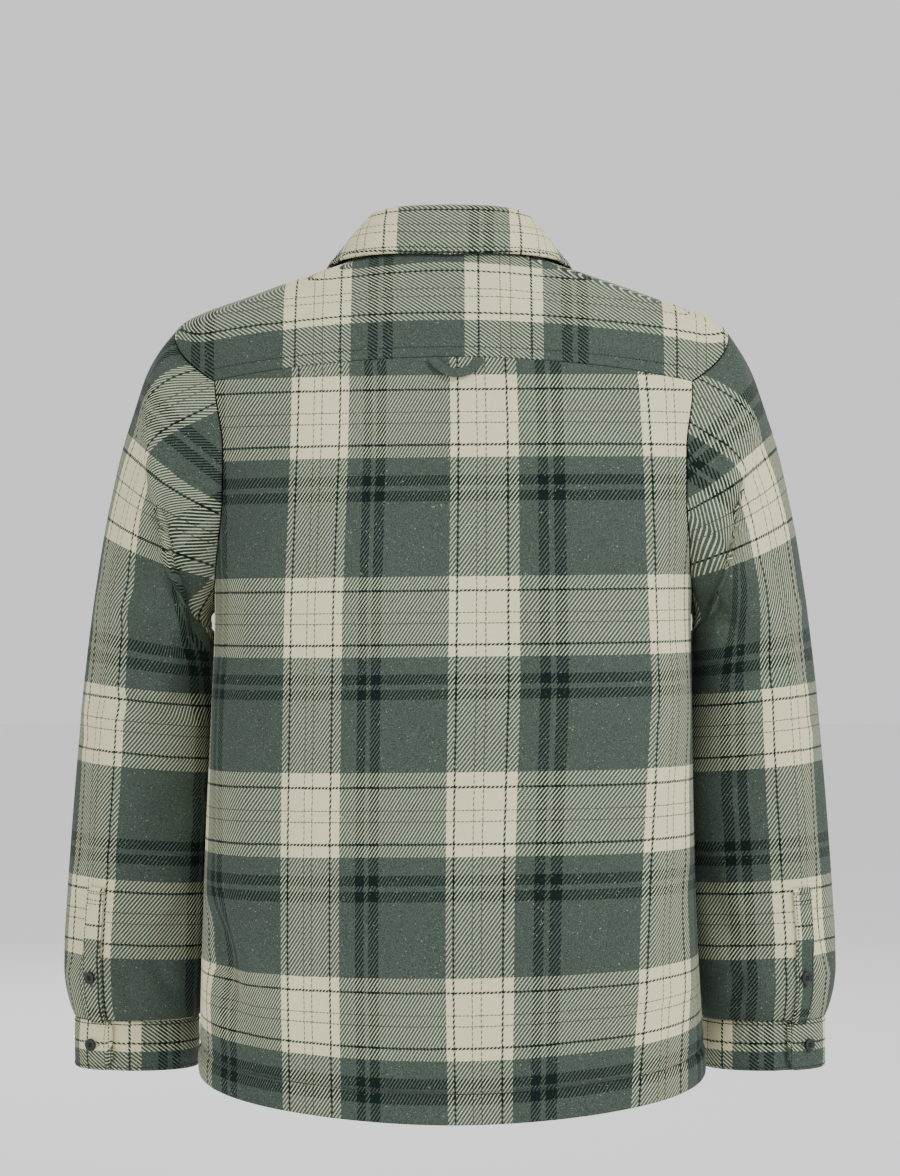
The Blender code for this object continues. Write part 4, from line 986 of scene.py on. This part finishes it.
def make_collar(finish):
    """The leaf: up from the stand, over the roll, and down onto the shoulders."""
    share = fine_steps(0.0, 1.0, 181, 0.44)
    steps = np.unique(np.concatenate((
        fine_steps(0.0, 1.0, 3, 0.075), np.linspace(0.0, ROLL_START, 5),
        np.linspace(ROLL_START, ROLL_END, 15), np.linspace(ROLL_END, 1.0, 24))))
    rows = []
    for step in steps:
        down = max(0.0, step - ROLL_END) / (1.0 - ROLL_END)
        trim = COLLAR_END_AT_ROLL + (COLLAR_END_AT_POINT - COLLAR_END_AT_ROLL) * down
        start = CENTRE_FRONT + trim
        rows.append(collar_line(start + (180.0 - 2.0 * start) * share, step))
    outer = np.array(rows)
    ways = unit(np.cross(np.gradient(outer, axis=0), np.gradient(outer, axis=1)))
    # the grain is measured from the centre back and from the top of the roll
    centre = int(np.argmin(np.abs(share - 0.5)))
    across = run_lengths(outer, 1)
    weft = COLLAR_WEFT - (across - across[:, centre:centre + 1])
    top = int(np.argmin(np.abs(steps - (ROLL_START + ROLL_END) / 2)))
    fall = run_lengths(outer, 0)
    warp = COLLAR_WARP_TOP + fall - fall[top:top + 1]
    grain = np.stack((warp, weft), axis=-1)
    return shell("collar_cloth", outer, ways, grain, COLLAR_WALL, finish), outer, ways


def make_loop(finish):
    share = fine_steps(0.0, 1.0, 60, 0.065)
    x = LOOP_LEFT + (LOOP_RIGHT - LOOP_LEFT) * share
    sag = np.sin(math.pi * share) ** LOOP_SAG_POWER
    path = np.stack((x, LOOP_START + LOOP_DROP * sag), axis=-1)
    along = unit(np.gradient(path, axis=0))
    across = np.stack((-along[:, 1], along[:, 0]), axis=-1)
    lift = LOOP_CLEAR + LOOP_STAND_OFF * sag + LOOP_WALL
    rows = []
    for part in fine_steps(-0.5, 0.5, 7, LOOP_BAND):
        edge = path + across * LOOP_BAND * part
        below = np.maximum(edge[:, 1], LOOP_START * 0.5)
        rows.append(on_back(edge[:, 0], below, lift))
    outer = np.array(rows)
    ways = unit(np.cross(np.gradient(outer, axis=1), np.gradient(outer, axis=0)))
    ways = ways * np.sign(ways[..., 1:2])
    warp = LOOP_WARP + run_lengths(outer, 0)
    weft = LOOP_WEFT + run_lengths(outer, 1) * LOOP_WEFT_RATE
    grain = np.stack((warp, weft), axis=-1)
    return shell("hanger_loop_cloth", outer, ways, grain, LOOP_WALL, finish)


def make_button(name, node, place, way, radius, finish):
    """A turned button: flat back, raised rim, dished middle and four holes. Gives its thread's paths."""
    half = BUTTON_THICKNESS / 2
    turns = np.linspace(0.0, 2.0 * math.pi, 72, endpoint=False)
    radii = np.concatenate((np.linspace(0.0, 0.60, 34)[1:], BUTTON_RIM_RADII))
    face = np.interp(radii, [spot[0] for spot in BUTTON_FACE], [spot[1] for spot in BUTTON_FACE])
    profile = [(r * radius, z * half) for r, z in list(zip(radii, face)) + list(BUTTON_SIDE)]
    grid = np.array([np.stack((r * np.cos(turns), r * np.sin(turns), np.full_like(turns, z)), axis=-1)
                     for r, z in profile])
    for spin in range(4):
        angle = math.pi / 4 + spin * math.pi / 2
        hole = np.array((math.cos(angle), math.sin(angle))) * radius * HOLE_RING
        away = np.linalg.norm(grid[:len(radii), :, :2] - hole, axis=-1) / (radius * HOLE_SIZE)
        grid[:len(radii), :, 2] -= HOLE_DEPTH * ease(HOLE_SPREAD - away)
    points = np.concatenate((grid.reshape(-1, 3), ((0.0, 0.0, face[0] * half), (0.0, 0.0, -half))))
    count = len(turns)
    faces = []
    for row in range(len(grid) - 1):
        for col in range(count):
            a, b = row * count + col, row * count + (col + 1) % count
            faces.append((a, a + count, b + count, b))
    top, bottom = len(points) - 2, len(points) - 1
    last = (len(grid) - 1) * count
    for col in range(count):
        faces.append((top, col, (col + 1) % count))
        faces.append((bottom, last + (col + 1) % count, last + col))
    turn = np.array(Vector(way).to_track_quat("Z", "Y").to_matrix()).T
    centre = np.array(place) + np.array(way) * (half + GAP + BUTTON_CLEAR)
    placed = points @ turn + centre
    mesh = bpy.data.meshes.new(name)
    mesh.from_pydata(placed.tolist(), [], faces)
    mesh.materials.append(finish)
    mesh.shade_smooth()
    thing = bpy.data.objects.new(name, mesh)
    bpy.context.scene.collection.objects.link(thing)
    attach(thing, "root")
    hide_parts(node)
    shift = radius * HOLE_RING * math.sin(math.pi / 4)
    lift = face[0] * half + BUTTON_CLEAR
    return [np.array(((x, -shift, lift), (x, shift, lift))) @ turn + centre for x in (-shift, shift)]


# Stitching, repeated along paths by nodes
def stitch_tree(finish):
    """A node tree that lays one small thread along each bit of a path."""
    tree = bpy.data.node_groups.new("stitches_along_path", "GeometryNodeTree")
    tree.interface.new_socket("Geometry", in_out="INPUT", socket_type="NodeSocketGeometry")
    for name, value in STITCH_SIZE.items():
        entry = tree.interface.new_socket(name, in_out="INPUT", socket_type="NodeSocketFloat")
        entry.default_value = value
    tree.interface.new_socket("Geometry", in_out="OUTPUT", socket_type="NodeSocketGeometry")
    maker = Maker(tree)
    path, pitch, length, thickness = maker.node("NodeGroupInput")[:4]
    curve = maker.node("GeometryNodeMeshToCurve", {}, {"Mesh": path})[0]
    spots = maker.node("GeometryNodeCurveToPoints", {"mode": "LENGTH"}, {"Curve": curve, "Length": pitch})
    thread = maker.node("GeometryNodeMeshUVSphere", {}, {"Segments": 6, "Rings": 4, "Radius": 1.0})[0]
    jitter = maker.node("FunctionNodeRandomValue", {"data_type": "FLOAT"}, {2: 0.82, 3: 1.1, "Seed": 7})[1]
    size = maker.node("ShaderNodeCombineXYZ", {}, {"X": length * jitter, "Y": thickness, "Z": thickness})[0]
    facing = maker.node("FunctionNodeAlignRotationToVector", {"axis": "X"}, {"Vector": spots[1]})[0]
    placed = maker.node("GeometryNodeInstanceOnPoints", {}, {
        "Points": spots[0], "Instance": thread, "Rotation": facing, "Scale": size})[0]
    real = maker.node("GeometryNodeRealizeInstances", {}, {"Geometry": placed})[0]
    smooth = maker.node("GeometryNodeSetShadeSmooth", {}, {"Geometry": real})[0]
    coated = maker.node("GeometryNodeSetMaterial", {}, {"Geometry": smooth, "Material": finish})[0]
    maker.node("NodeGroupOutput", {}, {"Geometry": coated})
    return tree


def sew(name, paths, tree, finish, size=STITCH_SIZE):
    """Runs a row of stitches along each path of points, as one piece."""
    vertices = []
    edges = []
    for path in paths:
        start = len(vertices)
        vertices.extend(np.asarray(path, float).tolist())
        edges.extend((start + i, start + i + 1) for i in range(len(path) - 1))
    mesh = bpy.data.meshes.new(name)
    mesh.from_pydata(vertices, edges, [])
    thing = bpy.data.objects.new(name, mesh)
    bpy.context.scene.collection.objects.link(thing)
    maker = thing.modifiers.new("stitches", "NODES")
    maker.node_group = tree
    for item in tree.interface.items_tree:
        if item.in_out == "INPUT" and item.name in size:
            maker[item.identifier] = size[item.name]
    bpy.context.view_layer.update()
    ready = thing.evaluated_get(bpy.context.evaluated_depsgraph_get())
    solid = bpy.data.meshes.new_from_object(ready)
    thing.modifiers.clear()
    thing.data = solid
    if not solid.materials:
        solid.materials.append(finish)
    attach(thing, "root")


def lifted(points, ways):
    """Points just off a cloth's face."""
    return points + ways * STITCH_LIFT


def body_path(angles, climbs):
    """A path on the body's outer face, just off the cloth."""
    return lifted(*face_of_body(angles, climbs))


def body_seams():
    """Sewing on the yoke, hem and placket, as paths."""
    yoke = np.linspace(YOKE_CORNER_ANGLE + 0.8, 180.0 - YOKE_CORNER_ANGLE - 0.8, 200)
    paths = [body_path(yoke, YOKE_SEAM + YOKE_STITCH_CLIMB)]
    for start, end, count in ((1.0, 179.0, 260), (CENTRE_FRONT + 6.0, -1.0, 150), (181.0, 264.0, 150)):
        paths.append(body_path(np.linspace(start, end, count), HEM_BAND))
    climbs = np.linspace(0.012, 0.985, 240)
    half = placket_half_angle(climbs)
    for share in (-PLACKET_STITCH, PLACKET_STITCH):
        paths.append(body_path(CENTRE_FRONT + half * share, climbs))
    return paths


def rim_path(points, ways, row):
    """A path along one row of a cloth's grid, just off its face."""
    return lifted(points[row, 3:-3], ways[row, 3:-3])


def rows_at(points, from_end, distance):
    """The row a given distance from a grid's first (False) or last (True) row."""
    down = run_lengths(points, 0)[:, points.shape[1] // 2]
    down = down[-1] - down if from_end else down
    return int(np.argmin(np.abs(down - distance)))


def cuff_seams(points, ways):
    top = rim_path(points, ways, rows_at(points, False, CUFF_STITCH))
    low = rim_path(points, ways, rows_at(points, True, CUFF_STITCH))
    run = run_lengths(points, 1)[points.shape[0] // 2]
    column_in = int(np.argmin(np.abs(run - CUFF_STITCH * 1.1)))
    end = lifted(points[3:-3, column_in], ways[3:-3, column_in])
    return [top, low, end]


def strip_seams(points, ways):
    across = run_lengths(points, 1)[points.shape[0] // 2]
    paths = []
    for inset in (STRIP_STITCH, across[-1] - STRIP_STITCH):
        col = int(np.argmin(np.abs(across - inset)))
        paths.append(lifted(points[2:-2, col], ways[2:-2, col]))
    for distance in (STRIP_STITCH, STRIP_BOX):
        row = rows_at(points, False, distance)
        paths.append(lifted(points[row, 1:-1], ways[row, 1:-1]))
    return paths


def buttonhole(place, way, along, length):
    """A closed sewn ring, long and narrow, just off the cloth behind a button."""
    along = unit(along - way * (along @ way))
    across = np.cross(way, along)
    turns = np.linspace(0.0, 2.0 * math.pi, 60)
    flat = np.sign(np.cos(turns)) * np.abs(np.cos(turns)) ** 0.5
    ring = along * (flat * length / 2)[:, None] + across * (np.sin(turns) * BUTTONHOLE_HALF_WIDTH)[:, None]
    return np.asarray(place) + ring + np.asarray(way) * STITCH_LIFT


def collar_seams(points, ways):
    row = rows_at(points, True, COLLAR_STITCH)
    run = run_lengths(points, 1)
    paths = [rim_path(points, ways, row)]
    fall = range(int(points.shape[0] * COLLAR_SEAM_FROM), row)
    for end in (False, True):
        edge = []
        for place in fall:
            length = run[place][-1] - run[place] if end else run[place]
            col = int(np.argmin(np.abs(length - COLLAR_STITCH)))
            edge.append(points[place, col] + ways[place, col] * STITCH_LIFT)
        paths.append(np.array(edge))
    return paths


# Materials
class Sock:
    """A shader value that ordinary sums can be written with."""

    def __init__(self, maker, socket):
        self.maker = maker
        self.socket = socket

    def _sum(self, operation, first, second):
        return self.maker.node("ShaderNodeMath", {"operation": operation}, {0: first, 1: second})[0]

    def __add__(self, other):
        return self._sum("ADD", self, other)

    def __sub__(self, other):
        return self._sum("SUBTRACT", self, other)

    def __rsub__(self, other):
        return self._sum("SUBTRACT", other, self)

    def __mul__(self, other):
        return self._sum("MULTIPLY", self, other)

    def __truediv__(self, other):
        return self._sum("DIVIDE", self, other)


class Maker:
    """Adds nodes to one tree."""

    def __init__(self, tree):
        self.tree = tree

    def node(self, kind, settings=None, values=None):
        made = self.tree.nodes.new(kind)
        for key, value in (settings or {}).items():
            setattr(made, key, value)
        for key, value in (values or {}).items():
            self.put(made.inputs[key], value)
        return [Sock(self, socket) for socket in made.outputs]

    def put(self, entry, value):
        if isinstance(value, Sock):
            self.tree.links.new(value.socket, entry)
        else:
            entry.default_value = value

    def surface(self, values):
        """Sets the surface that a material's tree begins with."""
        for key, value in values.items():
            self.put(self.tree.nodes["Principled BSDF"].inputs[key], value)

    def blend(self, share, first, second):
        return self.node("ShaderNodeMix", {"data_type": "RGBA"}, {0: share, 6: first, 7: second})[2]

    def smooth(self, value, low, high):
        """0 below low, 1 above high, easing between."""
        made = self.node("ShaderNodeMapRange", {"interpolation_type": "SMOOTHSTEP"},
                         {0: value, 1: low, 2: high, 3: 0.0, 4: 1.0})
        return made[0]

    def noise(self, place, scale, detail=2.0, roughness=0.5):
        made = self.node("ShaderNodeTexNoise", {}, {
            "Vector": place, "Scale": scale, "Detail": detail, "Roughness": roughness})
        return made[0]


def new_finish(name):
    """A new material and the maker of its nodes."""
    material = bpy.data.materials.new(name)
    material.use_nodes = True
    return material, Maker(material.node_tree)


def stripe(maker, place, start, end, soft):
    """1 between start and end of a repeat, with soft edges."""
    begun = maker.smooth(place, start - soft, start + soft)
    return begun * (1.0 - maker.smooth(place, end - soft, end + soft))


CREAM_WARP = (0.0, 0.0583)
WARP_LINES = ((0.0062, 0.0081), (0.0482, 0.0501), (0.0742, 0.0828), (0.0873, 0.0971))
WARP_THIN = ((0.0228, 0.0237), (0.0305, 0.0315))
CREAM_WEFT = (0.0, 0.0677)
WEFT_LINES = ((0.0111, 0.0131), (0.0566, 0.0587), (0.0824, 0.0909), (0.0952, 0.1037))
WEFT_THIN = ((0.0302, 0.0311), (0.0391, 0.0401))
TWILL_ACROSS = 0.0034
TWILL_DOWN = 0.0045

CREAM_COLOUR = (0.700, 0.655, 0.420, 1.0)
GREEN_COLOUR = (0.058, 0.079, 0.064, 1.0)
DARK_COLOUR = (0.0045, 0.0130, 0.0105, 1.0)
LINE_SOFTNESS = 0.00022
THIN_LINE_DEPTH = 0.85
TWILL_EDGE = 0.16
SWAY_SCALE = 140.0
HAIR_SCALE = 900.0
FLECK_SCALE = 1150.0
PATCH_SCALE = 9.0
NEP_SCALE = 620.0
PALE_YARN_SHARE = 0.62
NEP_START = 0.70
NEP_FULL = 0.78
NEP_SHARE = 0.40
# painted shade, tinted green, over the pale yarn where the twill mixes pale and darker yarns
PAINTED_YARN_SHADE_COLOUR = (0.080, 0.180, 0.150, 1.0)
PAINTED_YARN_SHADE_SHARE = 0.16


def yarn_colour(maker, place, repeat, cream, lines, thin, soft):
    wrapped = maker.node("ShaderNodeMath", {"operation": "FLOORED_MODULO"}, {0: place, 1: repeat})[0]
    pale = stripe(maker, wrapped, cream[0] + soft, cream[1], soft)
    dark = 0.0
    for start, end in lines:
        dark = stripe(maker, wrapped, start, end, soft) + dark
    for start, end in thin:
        dark = stripe(maker, wrapped, start, end, soft) * THIN_LINE_DEPTH + dark
    colour = maker.blend(pale, GREEN_COLOUR, CREAM_COLOUR)
    dark = maker.node("ShaderNodeClamp", {}, {0: dark})[0]
    return maker.blend(dark, colour, DARK_COLOUR), pale * (1.0 - dark)


def plaid(name):
    material, maker = new_finish(name)
    grain = maker.node("ShaderNodeUVMap", {"uv_map": "cloth"})[0]
    parts = maker.node("ShaderNodeSeparateXYZ", {}, {0: grain})
    warp, weft = parts[0], parts[1]
    place = maker.node("ShaderNodeTexCoord")[3]
    sway = maker.noise(place, SWAY_SCALE, 1.0) - 0.5
    hair = maker.noise(place, HAIR_SCALE, 2.0) - 0.5
    warp_at = warp + sway * 0.0009 + hair * 0.0006
    weft_at = weft + sway * 0.0008 + hair * 0.0006
    warp_colour, warp_pale = yarn_colour(
        maker, warp_at, WARP_REPEAT, CREAM_WARP, WARP_LINES, WARP_THIN, LINE_SOFTNESS)
    weft_colour, weft_pale = yarn_colour(
        maker, weft_at, WEFT_REPEAT, CREAM_WEFT, WEFT_LINES, WEFT_THIN, LINE_SOFTNESS)
    slope = warp / TWILL_ACROSS + weft / TWILL_DOWN + hair * 0.12
    wave = maker.node("ShaderNodeMath", {"operation": "SINE"}, {0: slope * (2.0 * math.pi)})[0]
    # where a pale yarn meets a darker one, the pale one shows a little less
    on_top = maker.smooth(wave - (weft_pale - warp_pale) * PALE_YARN_SHARE, -TWILL_EDGE, TWILL_EDGE)
    colour = maker.blend(on_top, warp_colour, weft_colour)
    # painted shade, tinted green, lies over the pale yarn where the pale and darker yarns mix
    painted_yarn_shade_mask = maker.node("ShaderNodeMath", {"operation": "ABSOLUTE"}, {0: weft_pale - warp_pale})[0]
    colour = maker.blend(painted_yarn_shade_mask * PAINTED_YARN_SHADE_SHARE, colour, PAINTED_YARN_SHADE_COLOUR)
    fleck = maker.noise(place, FLECK_SCALE, 2.0, 0.7)
    patch = maker.noise(place, PATCH_SCALE, 3.0)
    paleness = weft_pale * on_top + warp_pale * (1.0 - on_top)
    bright = (fleck - 0.5) * (3.1 - paleness * 2.6) + (patch - 0.5) * 0.20 + 1.0
    nep = maker.smooth(maker.noise(place, NEP_SCALE, 1.0), NEP_START, NEP_FULL) * (1.0 - paleness)
    lit = maker.node("ShaderNodeVectorMath", {"operation": "SCALE"}, {0: colour, 3: bright})[0]
    lit = maker.blend(nep * NEP_SHARE, lit, CREAM_COLOUR)
    height = wave * 0.00012 + fleck * 0.0003 + hair * 0.0002
    bump = maker.node("ShaderNodeBump", {}, {"Strength": 0.5, "Distance": 1.0, "Height": height})[0]
    maker.surface({"Base Color": lit, "Roughness": 0.9, "Sheen Weight": 0.04, "Sheen Roughness": 0.5,
                "Specular IOR Level": 0.10, "Normal": bump})
    return material


def plain_finish(name, colour, roughness, fleck_scale, fleck_share, coat=0.0):
    material, maker = new_finish(name)
    place = maker.node("ShaderNodeTexCoord")[3]
    fleck = maker.noise(place, fleck_scale, 2.0)
    bright = (fleck - 0.5) * fleck_share + 1.0
    lit = maker.node("ShaderNodeVectorMath", {"operation": "SCALE"}, {0: colour[:3], 3: bright})[0]
    maker.surface({"Base Color": lit, "Roughness": roughness, "Coat Weight": coat})
    return material


# Studio
CAMERA_AWAY = 3.0
CAMERA_HEIGHT = -0.290
SENSOR = 24.0
FRAME_HEIGHT = 1.00783
FLOOR_REACH = 14.0
FLOOR_HEIGHT = -0.95


def area_light(name, place, aim, size, power):
    data = bpy.data.lights.new(name, "AREA")
    data.shape = "DISK"
    data.size = size
    data.energy = power
    thing = bpy.data.objects.new(name, data)
    thing.location = place
    thing.rotation_mode = "QUATERNION"
    thing.rotation_quaternion = (Vector(aim) - Vector(place)).to_track_quat("-Z", "Y")
    bpy.context.scene.collection.objects.link(thing)


def make_studio():
    paper, maker = new_finish("studio_paper")
    maker.surface({"Base Color": (0.93, 0.93, 0.93, 1.0), "Roughness": 0.9})
    mesh = bpy.data.meshes.new("studio_floor")
    corners = [(x * FLOOR_REACH, y * FLOOR_REACH, FLOOR_HEIGHT)
               for x, y in ((-1, -1), (1, -1), (1, 1), (-1, 1))]
    mesh.from_pydata(corners, [], [(0, 1, 2, 3)])
    mesh.materials.append(paper)
    floor = bpy.data.objects.new("studio_floor", mesh)
    bpy.context.scene.collection.objects.link(floor)
    world = bpy.data.worlds.new("studio_air")
    world.use_nodes = True
    world.node_tree.nodes["Background"].inputs[0].default_value = (1.0, 1.0, 1.0, 1.0)
    world.node_tree.nodes["Background"].inputs[1].default_value = 0.95
    bpy.context.scene.world = world
    middle = (0.0, 0.0, -0.36)
    area_light("key", (-2.2, 2.1, 1.7), middle, 0.9, 72.0)
    area_light("fill", (2.0, 2.4, 0.2), middle, 2.0, 16.0)
    area_light("front_fill", (0.8, -2.6, 1.0), middle, 2.0, 26.0)
    data = bpy.data.cameras.new("camera")
    data.sensor_fit = "VERTICAL"
    data.sensor_height = SENSOR
    data.lens = SENSOR * CAMERA_AWAY / FRAME_HEIGHT
    data.clip_end = 60.0
    camera = bpy.data.objects.new("camera", data)
    camera.location = (0.0, CAMERA_AWAY, CAMERA_HEIGHT)
    camera.rotation_euler = (math.radians(90.0), 0.0, math.radians(180.0))
    bpy.context.scene.collection.objects.link(camera)
    bpy.context.scene.camera = camera


def cuff_button_spot(side):
    turns = np.linspace(CUFF_END_ANGLE, CUFF_END_ANGLE - 360.0 - CUFF_LAP_ANGLE, CUFF_COLUMNS + 1)
    ring, out = cuff_ring(turns, side)
    before = int(np.searchsorted(-turns, -CUFF_BUTTON_ANGLE)) - 1
    spot = (ring[before] + ring[before + 1]) / 2
    spot[2] = CUFF_BUTTON_HEIGHT
    run = ring[before + 1] - ring[before]
    way = np.cross(run, UP)
    return spot, unit(way * np.sign(way @ out[before]))


def main():
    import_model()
    cloth = plaid("plaid_cloth_finish")
    hard = plain_finish("button_finish", (0.006, 0.010, 0.009), 0.42, 300.0, 0.3, 0.10)
    thread = plain_finish("thread_finish", (0.014, 0.024, 0.018), 0.75, 900.0, 0.4)
    ties = []
    small_seams = []
    holes = []

    wear(make_back(cloth), "back")
    wear(make_yoke(cloth), "yoke")
    wear(make_front("front_left_panel", True, cloth), "front_left")
    wear(make_front("front_right_panel", False, cloth), "front_right")
    wear(make_placket(cloth), "front_placket")
    for arm in ARMS:
        side, label = arm.side, arm.label
        sleeve, points, ways, turns = make_sleeve(arm, cloth)
        wear(sleeve, "sleeve_" + label)
        cuff, cuff_points, cuff_ways = make_cuff(arm, cloth)
        wear(cuff, "cuff_" + label)
        strip, strip_points, strip_ways, spot, way = make_sleeve_placket(arm, points, ways, turns, cloth)
        wear(strip, "sleeve_placket_" + label)
        small_seams.extend(cuff_seams(cuff_points, cuff_ways))
        small_seams.extend(strip_seams(strip_points, strip_ways))
        holes.append(buttonhole(spot, way, UP, CUFF_BUTTONHOLE))
        ties.extend(make_button("button_sleeve_" + label, "sleeve_button_" + label,
                                spot + way * STRIP_BUTTON_LIFT, way, SLEEVE_BUTTON_RADIUS, hard))
        spot, way = cuff_button_spot(side)
        holes.append(buttonhole(spot + way * STITCH_LIFT, way, np.cross(way, UP), CUFF_BUTTONHOLE))
        ties.extend(make_button("button_cuff_" + label, "cuff_button_" + label,
                                spot + way * CUFF_BUTTON_LIFT, way, SLEEVE_BUTTON_RADIUS, hard))
    wear(make_stand(cloth), "collar_stand")
    collar, collar_points, collar_ways = make_collar(cloth)
    wear(collar, "collar")
    wear(make_loop(cloth), "hanger_loop")
    for count, climb in enumerate(np.linspace(FIRST_BUTTON_CLIMB, LAST_BUTTON_CLIMB, FRONT_BUTTONS)):
        place, way = face_of_body(CENTRE_FRONT, climb)
        holes.append(buttonhole(place, way, UP, FRONT_BUTTONHOLE))
        ties.extend(make_button("button_front_%d" % (count + 1), "front_button_%d" % (count + 1),
                                place, way, FRONT_BUTTON_RADIUS, hard))
    tree = stitch_tree(thread)
    sew("buttonhole_stitching", holes, tree, thread, BUTTONHOLE_SIZE)
    sew("body_stitching", body_seams(), tree, thread)
    sew("cuff_and_strip_stitching", small_seams, tree, thread)
    sew("collar_stitching", collar_seams(collar_points, collar_ways), tree, thread)
    sew("button_thread", ties, tree, thread, BUTTON_THREAD_SIZE)
    make_studio()


main()
